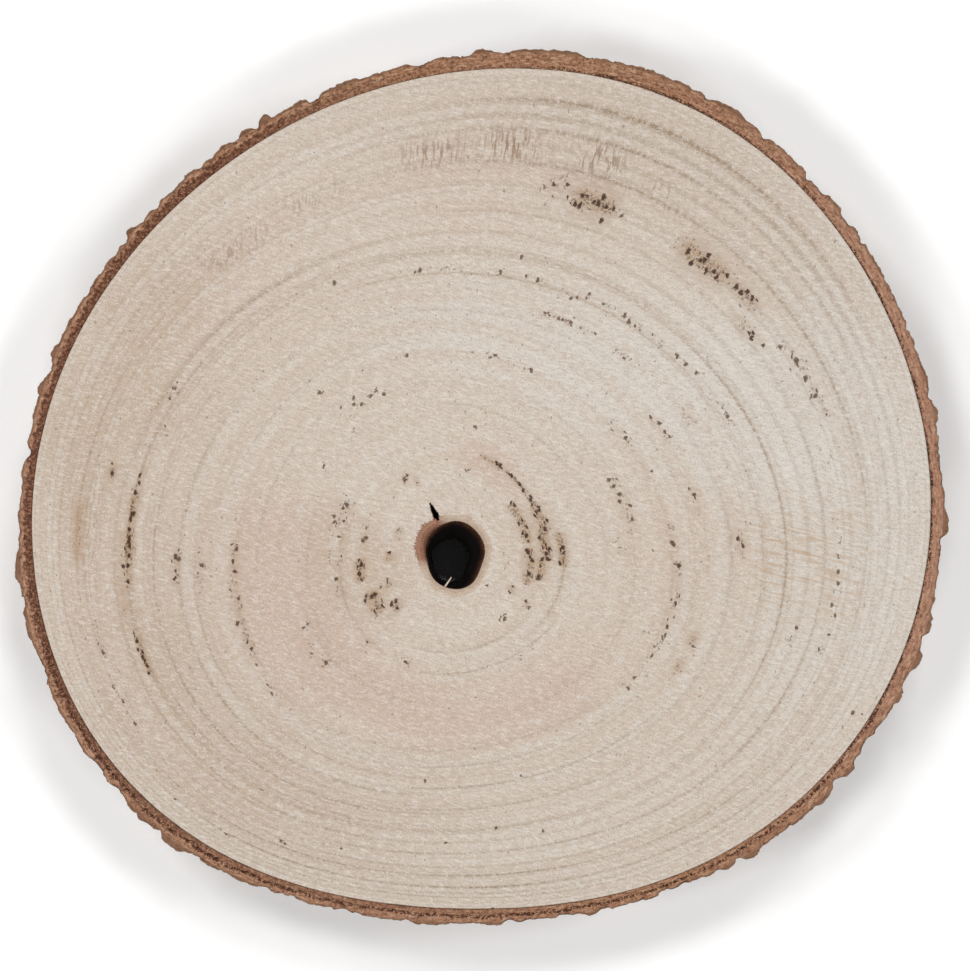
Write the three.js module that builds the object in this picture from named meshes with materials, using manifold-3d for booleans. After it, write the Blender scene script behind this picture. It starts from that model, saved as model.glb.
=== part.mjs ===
// A slice sawn across a hollow-pithed branch: a disc of pale wood inside its own ring of bark.
// Millimetres, +Z up. The origin is on the surface the slice lies on, under the middle of its outline.
import * as THREE from 'three';
import { mergeVertices } from 'three/addons/utils/BufferGeometryUtils.js';
import Module from 'manifold-3d';

// Size of the slice. Angles are in degrees, counter-clockwise from +X as seen from above.
const THICKNESS = 35;

// A wavy outline is a mean radius and a list of waves: [waves around the circle, height, angle of a crest].
const WOOD_OUTLINE = {
  radius: 140.3,
  waves: [[1, 3.1, 276], [2, 5.2, 15.4], [3, 2.6, 83.6], [4, 0.72, 49], [5, 0.26, 6], [6, 0.21, 52]],
};
const BARK_OUTLINE = {
  radius: 145.1,
  waves: [[1, 2.95, 275.4], [2, 5.02, 17.4], [3, 2.92, 84], [4, 0.86, 51.3], [5, 0.36, 72]],
};
const BARK_GAP = 0.3;

// Growth rings. Near the pith they are round; towards the bark they lean to an outline of their own.
const PITH = new THREE.Vector2(-9, -21.6);
const RING_OUTLINE = {
  radius: 139.1,
  waves: [[1, 3.1, 304], [2, 4.85, 15], [3, 2.51, 84], [4, 0.66, 48], [5, 0.36, 72]],
};
const RING_RADIUS = 138.2;
const RING_POWER = 3.5;
const RING_SHIFT = [[1, 3.2, 224], [2, 2.8, 177], [3, 1.6, 105]];
const RING_SKEW = [[1, 4.6, 66], [2, 7.7, 89]];
const GROOVE_SHARES = [0.228, 0.49, 0.61, 0.725, 0.8, 0.878, 0.925];
const GROOVE_WIDTH = 1.2;
const GROOVE_DEPTH = 0.35;

// Pith hollow: [height as a share of the thickness, mean radius, shift in x, shift in y].
const HOLLOW_ROWS = [
  [1, 10.2, 0, 0],
  [0.86, 9.7, -0.2, -0.3],
  [0.66, 7.9, -0.9, -1.3],
  [0.42, 6.4, -1.7, -2.2],
  [0.18, 6.8, -1.6, -2],
  [0, 7.8, -1.4, -1.7],
];
const HOLLOW_WAVES = [[2, 0.75, 90], [3, 0.25, 30], [5, 0.18, 10]];

// Crack in the pith ring, even as far as its shoulder and pointed beyond, and the sliver of wood that
// stands off the rim of the hollow.
const CRACK_ANGLE = 116;
const CRACK_SHOULDER = 13.2;
const CRACK_REACH = 18.2;
const CRACK_WIDTH = 1.5;
const SLIVER_ROOT = new THREE.Vector2(-4.2, -11.8);
const SLIVER_TIP = new THREE.Vector2(-1.1, -7.2);
const SLIVER_WIDTH = 0.9;
const SLIVER_HEIGHT = 7;
const SLIVER_BELOW_TOP = 0.6;

// Bark relief, which runs down the bark from the top edge. A notch is [angle, depth, half width] and a
// plate is [first angle, last angle, height at the first, height at the last].
const NOTCHES = [
  [4.2, 0.8, 3.6], [43.6, 0.8, 0.8], [51.2, 0.8, 0.8], [60, 1.2, 1.1], [75, 0.6, 0.9], [87, 0.6, 2.2],
  [92.2, 1.4, 1.4], [98.9, 1, 1.3], [131.4, 0.7, 0.9], [139.3, 1.1, 1], [141.8, 0.7, 1.6], [145.5, 1.5, 0.9],
  [175.5, 0.7, 0.8], [203.5, 1, 0.8], [216, 1.1, 2.3], [241.5, 0.9, 1.3], [245.2, 0.7, 0.9],
  [251.7, 0.7, 1.2], [280.6, 0.6, 1.8], [282.6, 0.7, 0.9], [297, 0.6, 3], [320.1, 1.2, 0.9],
  [327, 0.7, 3.6], [335.2, 0.6, 1], [349, 0.5, 4],
];
const PLATES = [
  [8, 10.4, 0.8, 0.8], [11.4, 17.3, 1, 0.5], [18.3, 20.6, 0.8, 0.4], [33, 35.6, 0.5, 1], [37.3, 40.6, 1, 0.6],
  [54.8, 58.6, 0.9, 0.5], [62, 69.8, 0.3, 1.1], [76.4, 81.6, 0.5, 1.1], [88.6, 91.2, 0.7, 0.3],
  [106, 113, 0.8, 0.8], [113, 119.6, 0.3, 0.6], [119.7, 121.9, 2.2, 1.2], [122.3, 125.1, 0.8, 1.6],
  [126, 128.2, 0.9, 0.6], [143.2, 144.7, 0.8, 0.8], [154, 160, 0.3, 0.4], [161.2, 164, 0.9, 0.9],
  [166.2, 168.2, 1.1, 1.1], [169, 172.2, 0.8, 0.3], [188.4, 191.8, 1, 1.2], [194.4, 198.8, 0.9, 0.9],
  [223.2, 226.4, 0.9, 0.7], [226.6, 230.8, 1.2, 1.6], [232.4, 239.8, 0.7, 0.4], [258.4, 266, 0.9, 0.5],
  [269, 277, 0.4, 0.3], [283.6, 285.4, 0.8, 0.5], [301.8, 304.2, 1, 1.3], [304.8, 307.6, 1.6, 1.2],
  [316.2, 319.2, 1.3, 0.5], [321, 323.4, 1, 1.6], [332.2, 334.4, 1.1, 1.1], [336.3, 339.6, 1.1, 1.9],
  [341.2, 344.4, 1.8, 1], [353.4, 357.4, 0.7, 1], [358.6, 360.9, 0.7, 0.6],
];
const NOTCH_STEEPNESS = 2;
const PLATE_STEEPNESS = 6;
const FISSURE_COUNT = 24;
const FISSURE_DEPTH = [0.4, 1];
const FISSURE_HALF_WIDTH = [1.3, 1.9];
const SWAY = [0.4, 1.4];
const SWAY_LENGTH = [45, 90];
const BARK_SEED = 283;
const EDGE_WEAR = 0.6;

// Fineness of the surfaces.
const WOOD_COLUMNS = 72;
const BARK_COLUMNS = 384;
const BARK_ROWS = 5;

const DEGREE = Math.PI / 180;
const wasm = await Module();
wasm.setup();

// Sum of the waves at an angle in radians.
function waves(terms, angle) {
  const wave = ([count, height, crest]) => height * Math.cos(count * (angle - crest * DEGREE));
  return terms.reduce((sum, term) => sum + wave(term), 0);
}

// Distance of an outline from the middle of the slice.
function outlineRadius(outline, angle) {
  return outline.radius + waves(outline.waves, angle);
}

// Distance of an outline from the pith, along a ray at the given angle. Each step moves the point out or
// in by what it misses the outline by.
function outlineFromPith(outline, angle) {
  const direction = new THREE.Vector2(Math.cos(angle), Math.sin(angle));
  let reach = outline.radius;
  for (let step = 0; step < 16; step += 1) {
    const point = direction.clone().multiplyScalar(reach).add(PITH);
    reach += outlineRadius(outline, point.angle()) - point.length();
  }
  return reach;
}

// Distance of a growth ring from the pith. The share is 0 at the pith and 1 at the rings' outline.
function ringRadius(share, angle) {
  const dome = 4 * share * (1 - share);
  const bend = waves(RING_SHIFT, angle) + (1 - 2 * share) * waves(RING_SKEW, angle);
  const lean = Math.pow(share, RING_POWER) * (outlineFromPith(RING_OUTLINE, angle) - RING_RADIUS);
  return share * RING_RADIUS + lean + dome * bend;
}

// Repeatable random numbers between 0 and 1.
function randomFrom(seed) {
  let state = seed;
  return () => {
    state = (state * 48271) % 2147483647;
    return state / 2147483647;
  };
}

// Every notch, plate and fissure of the bark, each with its steepness and the way it sways as it runs down.
function barkFeatures() {
  const random = randomFrom(BARK_SEED);
  const between = ([low, high]) => low + (high - low) * random();
  const groove = (angle, depth, halfWidth) => ({
    angle, halfWidth, heights: [-depth, -depth], steepness: NOTCH_STEEPNESS,
  });
  const notches = NOTCHES.map(([angle, depth, halfWidth]) => groove(angle, depth, halfWidth));
  const plates = PLATES.map(([first, last, ...heights]) => ({
    angle: (first + last) / 2, halfWidth: (last - first) / 2, heights, steepness: PLATE_STEEPNESS,
  }));
  const fissures = Array.from({ length: FISSURE_COUNT }, (_, place) => (
    groove((place + random()) * 360 / FISSURE_COUNT, between(FISSURE_DEPTH), between(FISSURE_HALF_WIDTH))
  ));
  return [...notches, ...plates, ...fissures].map((feature) => ({
    ...feature,
    sway: between(SWAY),
    turn: 2 * Math.PI / between(SWAY_LENGTH),
  }));
}

// Relief of the bark's outside at an angle and a distance below the top: the sum of its features. Across
// a feature x goes from -1 to 1, its height goes from the first to the last, and (1 - |x|^steepness)^2
// brings it down to nothing at both edges.
function barkRelief(features, angle, drop) {
  const relief = ({ angle: centre, halfWidth, heights: [first, last], steepness, sway, turn }) => {
    const swayed = centre + sway * Math.sin(turn * drop);
    const across = (((angle / DEGREE - swayed) % 360 + 540) % 360 - 180) / halfWidth;
    const height = first + (last - first) * (across + 1) / 2;
    return Math.abs(across) < 1 ? height * (1 - Math.abs(across) ** steepness) ** 2 : 0;
  };
  return features.reduce((sum, feature) => sum + relief(feature), 0);
}

// Closed ring-shaped surface. The profile gives the loop of points that one column passes through: up
// the outside, in over the top, down the inside and out under the bottom.
function closedBand(columns, profile) {
  const loops = Array.from({ length: columns }, (_, column) => profile(2 * Math.PI * column / columns));
  const size = loops[0].length;
  const index = [];
  for (let column = 0; column < columns; column += 1) {
    const here = column * size;
    const next = ((column + 1) % columns) * size;
    for (let point = 0; point < size; point += 1) {
      const after = (point + 1) % size;
      index.push(here + point, next + point, next + after, here + point, next + after, here + after);
    }
  }
  const geometry = new THREE.BufferGeometry();
  const places = loops.flat().flatMap((point) => point.toArray());
  geometry.setAttribute('position', new THREE.Float32BufferAttribute(places, 3));
  geometry.setIndex(index);
  return geometry;
}

// Closed three.js geometry as a solid for cutting and joining.
function toSolid(geometry) {
  const bare = geometry.clone();
  bare.deleteAttribute('normal');
  bare.deleteAttribute('uv');
  const merged = mergeVertices(bare);
  return new wasm.Manifold(new wasm.Mesh({
    numProp: 3,
    vertProperties: new Float32Array(merged.attributes.position.array),
    triVerts: new Uint32Array(merged.index.array),
  }));
}

// Solid back to three.js geometry.
function toGeometry(solid) {
  const mesh = solid.getMesh();
  const geometry = new THREE.BufferGeometry();
  geometry.setAttribute('position', new THREE.BufferAttribute(new Float32Array(mesh.vertProperties), 3));
  geometry.setIndex(new THREE.BufferAttribute(new Uint32Array(mesh.triVerts), 1));
  geometry.computeVertexNormals();
  return geometry;
}

// Point of the wood at a distance and angle from the pith.
function fromPith(radius, angle, z) {
  return new THREE.Vector3(PITH.x + radius * Math.cos(angle), PITH.y + radius * Math.sin(angle), z);
}

// One column of the wood: up the sawn edge, in over the top with its ring grooves, down the pith hollow
// and out under the bottom with the same grooves.
function woodProfile(angle) {
  const grooves = GROOVE_SHARES.flatMap((share) => {
    const radius = ringRadius(share, angle);
    return [[radius - GROOVE_WIDTH / 2, 0], [radius, GROOVE_DEPTH], [radius + GROOVE_WIDTH / 2, 0]];
  });
  const edge = outlineFromPith(WOOD_OUTLINE, angle);
  const top = grooves.toReversed().map(([radius, depth]) => fromPith(radius, angle, THICKNESS - depth));
  const bottom = grooves.map(([radius, depth]) => fromPith(radius, angle, depth));
  const hollow = HOLLOW_ROWS.map(([height, radius, shiftX, shiftY]) => {
    const point = fromPith(radius + waves(HOLLOW_WAVES, angle), angle, height * THICKNESS);
    return point.add(new THREE.Vector3(shiftX, shiftY, 0));
  });
  return [fromPith(edge, angle, 0), fromPith(edge, angle, THICKNESS), ...top, ...hollow, ...bottom];
}

// One column of the bark: up its outside with the relief and a worn edge at each end, and straight down
// beside the wood.
function barkProfile(features, angle) {
  const inside = outlineRadius(WOOD_OUTLINE, angle) + BARK_GAP;
  const outside = outlineRadius(BARK_OUTLINE, angle);
  const place = (radius, z) => new THREE.Vector3(radius * Math.cos(angle), radius * Math.sin(angle), z);
  const surface = (z, wear) => place(outside + barkRelief(features, angle, THICKNESS - z) - wear, z);
  const flank = Array.from({ length: BARK_ROWS + 1 }, (_, row) => (
    surface(EDGE_WEAR + (THICKNESS - 2 * EDGE_WEAR) * row / BARK_ROWS, 0)
  ));
  const section = [surface(THICKNESS, EDGE_WEAR), place(inside, THICKNESS), place(inside, 0)];
  return [surface(0, EDGE_WEAR), ...flank, ...section];
}

// Pointed crack that runs from the hollow out through the pith ring, over the whole thickness.
function crackWedge() {
  const shape = new THREE.Shape();
  shape.moveTo(0, -CRACK_WIDTH / 2);
  shape.lineTo(CRACK_SHOULDER, -CRACK_WIDTH / 2);
  shape.lineTo(CRACK_REACH, 0);
  shape.lineTo(CRACK_SHOULDER, CRACK_WIDTH / 2);
  shape.lineTo(0, CRACK_WIDTH / 2);
  shape.closePath();
  const wedge = new THREE.ExtrudeGeometry(shape, { depth: THICKNESS + 2, bevelEnabled: false });
  wedge.rotateZ(CRACK_ANGLE * DEGREE);
  wedge.translate(PITH.x, PITH.y, -1);
  return wedge;
}

// Thin sliver that tapers from its root in the rim to its tip over the hollow.
function sliver() {
  const along = SLIVER_TIP.clone().sub(SLIVER_ROOT);
  const shape = new THREE.Shape();
  shape.moveTo(0, -SLIVER_WIDTH / 2);
  shape.lineTo(along.length(), -SLIVER_WIDTH / 6);
  shape.lineTo(along.length(), SLIVER_WIDTH / 6);
  shape.lineTo(0, SLIVER_WIDTH / 2);
  shape.closePath();
  const blade = new THREE.ExtrudeGeometry(shape, { depth: SLIVER_HEIGHT, bevelEnabled: false });
  blade.rotateZ(along.angle());
  const root = PITH.clone().add(SLIVER_ROOT);
  blade.translate(root.x, root.y, THICKNESS - SLIVER_BELOW_TOP - SLIVER_HEIGHT);
  return blade;
}

// Pale disc of wood with its rings, its pith hollow, the crack and the sliver.
function makeWood() {
  const disc = toSolid(closedBand(WOOD_COLUMNS, woodProfile));
  const solid = disc.subtract(toSolid(crackWedge())).add(toSolid(sliver()));
  const material = new THREE.MeshStandardMaterial({ color: 0xd1bfae, roughness: 0.86, metalness: 0 });
  const wood = new THREE.Mesh(toGeometry(solid), material);
  wood.name = 'wood';
  return wood;
}

// Ring of bark around the wood.
function makeBark() {
  const features = barkFeatures();
  const geometry = closedBand(BARK_COLUMNS, (angle) => barkProfile(features, angle));
  geometry.computeVertexNormals();
  const material = new THREE.MeshStandardMaterial({ color: 0x8a6244, roughness: 0.95, metalness: 0 });
  const bark = new THREE.Mesh(geometry, material);
  bark.name = 'bark';
  return bark;
}

// The whole slice, moved so that the middle of its outline is over the origin.
const slice = new THREE.Group();
slice.add(makeWood(), makeBark());
const middle = new THREE.Box3().setFromObject(slice).getCenter(new THREE.Vector3());
slice.position.set(-middle.x, -middle.y, 0);

export default slice;
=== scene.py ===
"""A sawn slice of a hollow-pithed branch: pale wood with growth rings, inside its ring of rough bark.

The slice is drawn in millimetres round the middle of its outline, with angles in degrees counter-clockwise
from +X as seen from above, and is then moved to where the wood solid of the frame lies, in metres.
"""

import itertools
import logging
import math
from dataclasses import dataclass, field
from enum import Enum, IntEnum

import bpy
import numpy as np
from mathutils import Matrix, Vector


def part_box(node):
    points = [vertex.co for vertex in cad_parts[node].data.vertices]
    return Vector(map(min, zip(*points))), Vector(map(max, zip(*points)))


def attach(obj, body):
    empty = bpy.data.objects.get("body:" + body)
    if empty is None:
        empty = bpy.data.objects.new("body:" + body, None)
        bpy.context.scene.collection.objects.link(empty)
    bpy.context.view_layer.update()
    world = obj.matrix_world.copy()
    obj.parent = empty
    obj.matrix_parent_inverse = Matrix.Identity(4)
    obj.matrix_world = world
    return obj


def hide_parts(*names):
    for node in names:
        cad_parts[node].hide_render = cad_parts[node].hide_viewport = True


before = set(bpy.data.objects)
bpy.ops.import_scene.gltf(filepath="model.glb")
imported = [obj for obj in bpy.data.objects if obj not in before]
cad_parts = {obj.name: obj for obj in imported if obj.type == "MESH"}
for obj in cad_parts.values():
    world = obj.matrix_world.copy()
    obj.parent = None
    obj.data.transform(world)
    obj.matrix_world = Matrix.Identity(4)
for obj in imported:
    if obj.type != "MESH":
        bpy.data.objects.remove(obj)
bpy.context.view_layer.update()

LOG = logging.getLogger("wood_slice")
MM = 0.001
SAW_ANGLE = 14.0
SHARP_ANGLE = 50.0
SMOOTH_ALL_ROUND = 180.0
Waves = tuple[tuple[int, float, float], ...]
Outline = tuple[float, Waves]
Colour = tuple[float, float, float, float]


def srgb(red: int, green: int, blue: int) -> Colour:
    """Turn a colour as it is seen on a screen, 0 to 255, into the linear values that a shader takes.

    Args:
        red, green, blue: the channels, 0 to 255.

    Returns:
        The linear red, green, blue and an alpha of 1.
    """
    shares = (channel / 255 for channel in (red, green, blue))
    linear = [share / 12.92 if share <= 0.04045 else ((share + 0.055) / 1.055) ** 2.4 for share in shares]
    return (linear[0], linear[1], linear[2], 1.0)


def waves(terms: Waves, degrees: np.ndarray) -> np.ndarray:
    """Sum of cosine waves round a circle: height times the cosine of count times (angle minus crest).

    Args:
        terms: each wave as (waves round the circle, height, angle of a crest).
        degrees: the angles.

    Returns:
        The sum at each angle.
    """
    return sum(height * np.cos(count * np.radians(degrees - crest)) for count, height, crest in terms)


def outline_radius(outline: Outline, degrees: np.ndarray) -> np.ndarray:
    """Distance of a wavy outline from the middle of the slice: its mean radius plus its waves."""
    return outline[0] + waves(outline[1], degrees)


def hump(offset: np.ndarray) -> np.ndarray:
    """Smooth hump: (1 - x squared) squared between -1 and 1, and 0 beyond."""
    return np.clip(1 - offset * offset, 0, None) ** 2


def polar(radius: np.ndarray, degrees: np.ndarray, height: np.ndarray) -> np.ndarray:
    """Points round an axis: radius times cosine and sine of the angle, and the height as the third."""
    angle = np.radians(degrees)
    return np.stack([radius * np.cos(angle), radius * np.sin(angle), height], axis=-1)


def turn_between(degrees: np.ndarray, centre: float | np.ndarray) -> np.ndarray:
    """Signed turn from a centre to each angle, between -180 and 180 degrees."""
    return (degrees - centre + 180) % 360 - 180


def smooth_step(value: np.ndarray, low: float, high: float) -> np.ndarray:
    """Rise from 0 at low to 1 at high along 3x squared minus 2x cubed; it falls where low is above high."""
    share = np.clip((value - low) / (high - low), 0, 1)
    return share * share * (3 - 2 * share)


def lattice_random(cells: np.ndarray, seed: int) -> np.ndarray:
    """Repeatable random number between 0 and 1 for each whole-number cell, by mixing the cell's bits.

    Args:
        cells: whole numbers, with the cell's coordinates along the last axis.
        seed: which field of random numbers.

    Returns:
        One number for each cell.
    """
    steps = np.array([73856093, 19349663, 83492791][:cells.shape[-1]], dtype=np.int64)
    mixed = (cells.astype(np.int64) @ steps + seed * 40503) & 0xFFFFFFFF
    for shift, factor in ((13, 1274126177), (16, 668265263)):
        mixed = ((mixed ^ (mixed >> shift)) * factor) & 0xFFFFFFFF
    return (mixed ^ (mixed >> 15)) / 0xFFFFFFFF


def roughness_field(points: np.ndarray, cell: float | tuple[float, float, float], seed: int) -> np.ndarray:
    """Smooth random field between -1 and 1: random values at lattice corners, blended by cubic steps.

    Args:
        points: positions in millimetres, with x, y, z along the last axis.
        cell: size of a lattice cell, or one size for each axis.
        seed: which field.

    Returns:
        The field's value at each point.
    """
    place = points / np.asarray(cell, dtype=float)
    corner = np.floor(place)
    blend = place - corner
    blend = blend * blend * (3 - 2 * blend)
    total = np.zeros(points.shape[:-1])
    for offset in itertools.product((0, 1), repeat=3):
        weight = np.where(np.array(offset) == 1, blend, 1 - blend).prod(axis=-1)
        total += weight * lattice_random(corner + offset, seed)
    return 2 * total - 1


class Side(Enum):
    """Which sawn face of the slice."""

    UPPER = 1
    LOWER = -1


class Seed(IntEnum):
    """Which field of random numbers a surface takes its roughness from."""

    SAWN_FACE = 3
    BARK_GRIT = 5
    BARK_SWELL = 6
    BARK_GAP = 8
    WALL_LUMPS = 11
    WALL_FIBRES = 12
    SECTION_GRIT = 14
    SECTION_SWELL = 15
    BROAD_FLAKES = 21
    NARROW_FLAKES = 31
    SPLINTERS = 41


@dataclass(frozen=True)
class Lumps:
    """Random lumps of a surface: their greatest height, their size, both in mm, and their seed."""

    height: float
    size: float | tuple[float, float, float]
    seed: Seed

    def at(self, points: np.ndarray) -> np.ndarray:
        """Height at each point, between the greatest height below and above."""
        return self.height * roughness_field(points, self.size, self.seed)


@dataclass
class Draws:
    """Repeatable random numbers: each is the remainder of the last one times the factor."""

    state: int
    factor: int = 48271
    modulus: int = 2147483647

    def between(self, limits: tuple[float, float]) -> float:
        """Next random number between two limits."""
        self.state = self.state * self.factor % self.modulus
        return limits[0] + (limits[1] - limits[0]) * self.state / self.modulus


class Tint(Enum):
    """Cast that the wood's colour takes in a zone of the face."""

    CHALK = 0
    BLUSH = 1
    STRAW = 2


@dataclass(frozen=True)
class Growth:
    """How the branch grew and was cut: the wood's edge, its rings, its bark and its pith hollow, in mm."""

    thickness: float = 35.0
    wood_outline: Outline = (
        140.3, ((1, 3.1, 276), (2, 5.2, 15.4), (3, 2.6, 83.6), (4, 0.72, 49), (5, 0.26, 6), (6, 0.21, 52)),
    )
    bark_outline: Outline = (
        145.1, ((1, 2.95, 275.4), (2, 5.02, 17.4), (3, 2.92, 84), (4, 0.86, 51.3), (5, 0.36, 72)),
    )
    ring_outline: Outline = (
        139.1, ((1, 3.1, 304), (2, 4.85, 15), (3, 2.51, 84), (4, 0.66, 48), (5, 0.36, 72)),
    )
    pith: tuple[float, float] = (-9.0, -21.6)
    ring_radius_mean: float = 138.2
    ring_power: float = 3.5
    edge_power: float = 16.0
    ring_shift: Waves = ((1, 3.2, 224), (2, 2.8, 177), (3, 1.6, 105))
    ring_skew: Waves = ((1, 4.6, 66), (2, 7.7, 89))
    solid_columns: int = 72
    outline_steps: int = 16

    def wood_edge(self, degrees: np.ndarray) -> np.ndarray:
        """Distance of the wood's edge from the middle of the slice."""
        return outline_radius(self.wood_outline, degrees)

    def bark_edge(self, degrees: np.ndarray) -> np.ndarray:
        """Distance of the bark's outside from the middle of the slice, without its relief."""
        return outline_radius(self.bark_outline, degrees)

    def from_pith(self, outline: Outline, degrees: np.ndarray) -> np.ndarray:
        """Distance of an outline from the pith: each step moves a point by what it misses the outline by.

        Args:
            outline: the outline.
            degrees: angles at the pith.

        Returns:
            The distance at each angle.
        """
        reach = np.full(degrees.shape, outline[0])
        for _ in range(self.outline_steps):
            place = self.round_pith(reach, degrees, 0 * reach)
            x, y = place[..., 0], place[..., 1]
            reach += outline_radius(outline, np.degrees(np.arctan2(y, x))) - np.hypot(x, y)
        return reach

    def round_pith(self, radius: np.ndarray, degrees: np.ndarray, height: np.ndarray) -> np.ndarray:
        """Points at distances and angles round the pith."""
        return polar(radius, degrees, height) + np.array([*self.pith, 0.0])

    def ring(self, share: np.ndarray, degrees: np.ndarray) -> np.ndarray:
        """Distance of a growth ring from the pith.

        It is the share times the mean radius, plus the share to a power times what the rings' outline
        departs from that radius by, plus a shift that is largest half way out and skews towards the pith.
        The share to a high power brings the last rings on to the wood's edge.

        Args:
            share: 0 at the pith and 1 at the edge of the wood.
            degrees: angles at the pith.

        Returns:
            The distance for each share and angle.
        """
        dome = 4 * share * (1 - share)
        bend = waves(self.ring_shift, degrees) + (1 - 2 * share) * waves(self.ring_skew, degrees)
        rounded = self.from_pith(self.ring_outline, degrees)
        lean = share ** self.ring_power * (rounded - self.ring_radius_mean)
        last = share ** self.edge_power * (self.from_pith(self.wood_outline, degrees) - rounded)
        return share * self.ring_radius_mean + lean + last + dome * bend

    def place(self) -> np.ndarray:
        """Move from the slice's drawing to the frame: from the middle of the drawn wood to the solid's.

        Returns:
            The shift in x, y and z, in mm.
        """
        columns = np.arange(self.solid_columns) * 360.0 / self.solid_columns
        edge = self.from_pith(self.wood_outline, columns)
        drawn = self.round_pith(edge, columns, 0 * edge)
        drawn_middle = (drawn.min(axis=0) + drawn.max(axis=0)) / 2
        low, high = (np.array(corner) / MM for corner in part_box("wood"))
        return ((low + high) / 2 - drawn_middle) * (1, 1, 0)


def closed_band(name: str, loops: np.ndarray, shift: np.ndarray) -> bpy.types.Object:
    """Make a closed ring-shaped piece from its columns, each a closed loop of points.

    A point's neighbours are the next point of its loop and the same point of the next column, and both
    ways close on themselves. The loops run up the outside, in over the top and down the inside, so that
    the faces point outwards.

    Args:
        name: the piece's name.
        loops: positions in mm, by column, point and axis.
        shift: move to the frame, in mm.

    Returns:
        The object, at the origin, with its place in its mesh.
    """
    columns, size = loops.shape[:2]
    column, point = np.meshgrid(np.arange(columns), np.arange(size), indexing="ij")
    here, after = column * size, (point + 1) % size
    following = (column + 1) % columns * size
    quads = np.stack([here + point, following + point, following + after, here + after], axis=-1)
    return mesh_piece(name, loops + shift, quads.reshape(-1, 4).tolist(), SHARP_ANGLE)


def mesh_piece(name: str, points: np.ndarray, faces: list[list[int]], sharp: float) -> bpy.types.Object:
    """Make a smooth-shaded mesh object.

    Args:
        name: the piece's name.
        points: positions in mm, with x, y, z along the last axis.
        faces: vertex numbers of each face.
        sharp: angle between two faces, in degrees, from which their edge is sharp.

    Returns:
        The object, linked to the scene.
    """
    mesh = bpy.data.meshes.new(name)
    mesh.from_pydata((points.reshape(-1, 3) * MM).tolist(), [], faces)
    mesh.polygons.foreach_set("use_smooth", np.ones(len(mesh.polygons), dtype=bool))
    mesh.set_sharp_from_angle(angle=math.radians(sharp))
    mesh.update()
    piece = bpy.data.objects.new(name, mesh)
    bpy.context.scene.collection.objects.link(piece)
    return piece


def paint(piece: bpy.types.Object, name: str, values: np.ndarray) -> None:
    """Keep a number, or a vector of three, at every vertex of a piece, for its material to read.

    Args:
        piece: the mesh object.
        name: the attribute's name.
        values: one number for each vertex, or three along the last axis.
    """
    is_vector = values.shape[-1] == 3 and values.size == 3 * len(piece.data.vertices)
    kind, channel = ("FLOAT_VECTOR", "vector") if is_vector else ("FLOAT", "value")
    layer = piece.data.attributes.new(name, kind, "POINT")
    layer.data.foreach_set(channel, values.astype(np.float32).ravel())


class Value:
    """An output socket of a material that works in Python sums: each operation adds a Math node."""

    def __init__(self, finish: "Finish", socket: bpy.types.NodeSocket) -> None:
        """Wrap the socket of a finish's node."""
        self.finish = finish
        self.socket = socket

    def _math(self, operation: str, first: "Value | float", second: "Value | float") -> "Value":
        """Add a Math node for two operands and wrap its result."""
        return self.finish.add("ShaderNodeMath", {"operation": operation}, {0: first, 1: second})

    def __add__(self, other: "Value | float") -> "Value":
        """Sum."""
        return self._math("ADD", self, other)

    def __radd__(self, other: float) -> "Value":
        """Sum with a number first."""
        return self._math("ADD", other, self)

    def __sub__(self, other: "Value | float") -> "Value":
        """Difference."""
        return self._math("SUBTRACT", self, other)

    def __rsub__(self, other: float) -> "Value":
        """Number minus this value."""
        return self._math("SUBTRACT", other, self)

    def __mul__(self, other: "Value | float") -> "Value":
        """Product."""
        return self._math("MULTIPLY", self, other)

    def __rmul__(self, other: float) -> "Value":
        """Product with a number first."""
        return self._math("MULTIPLY", other, self)

    def below(self, other: "Value | float") -> "Value":
        """1 where this value is less than the other, and 0 elsewhere."""
        return self._math("LESS_THAN", self, other)

    def at_most(self, other: "Value | float") -> "Value":
        """The lesser of the two."""
        return self._math("MINIMUM", self, other)

    def rise(self, low: float, high: float) -> "Value":
        """Go smoothly from 0 at low to 1 at high, or from 1 to 0 where low is the greater.

        Args:
            low: value that gives 0.
            high: value that gives 1.

        Returns:
            The smooth step, kept between 0 and 1.
        """
        ends = {"From Min": min(low, high), "From Max": max(low, high), "To Min": 0.0, "To Max": 1.0}
        if low > high:
            ends.update({"To Min": 1.0, "To Max": 0.0})
        smooth = {"interpolation_type": "SMOOTHSTEP"}
        return self.finish.add("ShaderNodeMapRange", smooth, {"Value": self, **ends})


@dataclass(frozen=True)
class Grain:
    """A noise pattern of a finish.

    The scale is grains to a unit of length, detail counts the finer layers on top and roughness is their
    strength. A deep grain changes along z too; others run straight down. The twist bends the grains, and
    the stretch, by axis, is turned about Z by an angle in degrees.
    """

    scale: float
    detail: float = 2.0
    roughness: float = 0.5
    deep: bool = False
    twist: float = 0.0
    stretch: tuple[float, float, float] | None = None
    turn: float = 0.0


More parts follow.
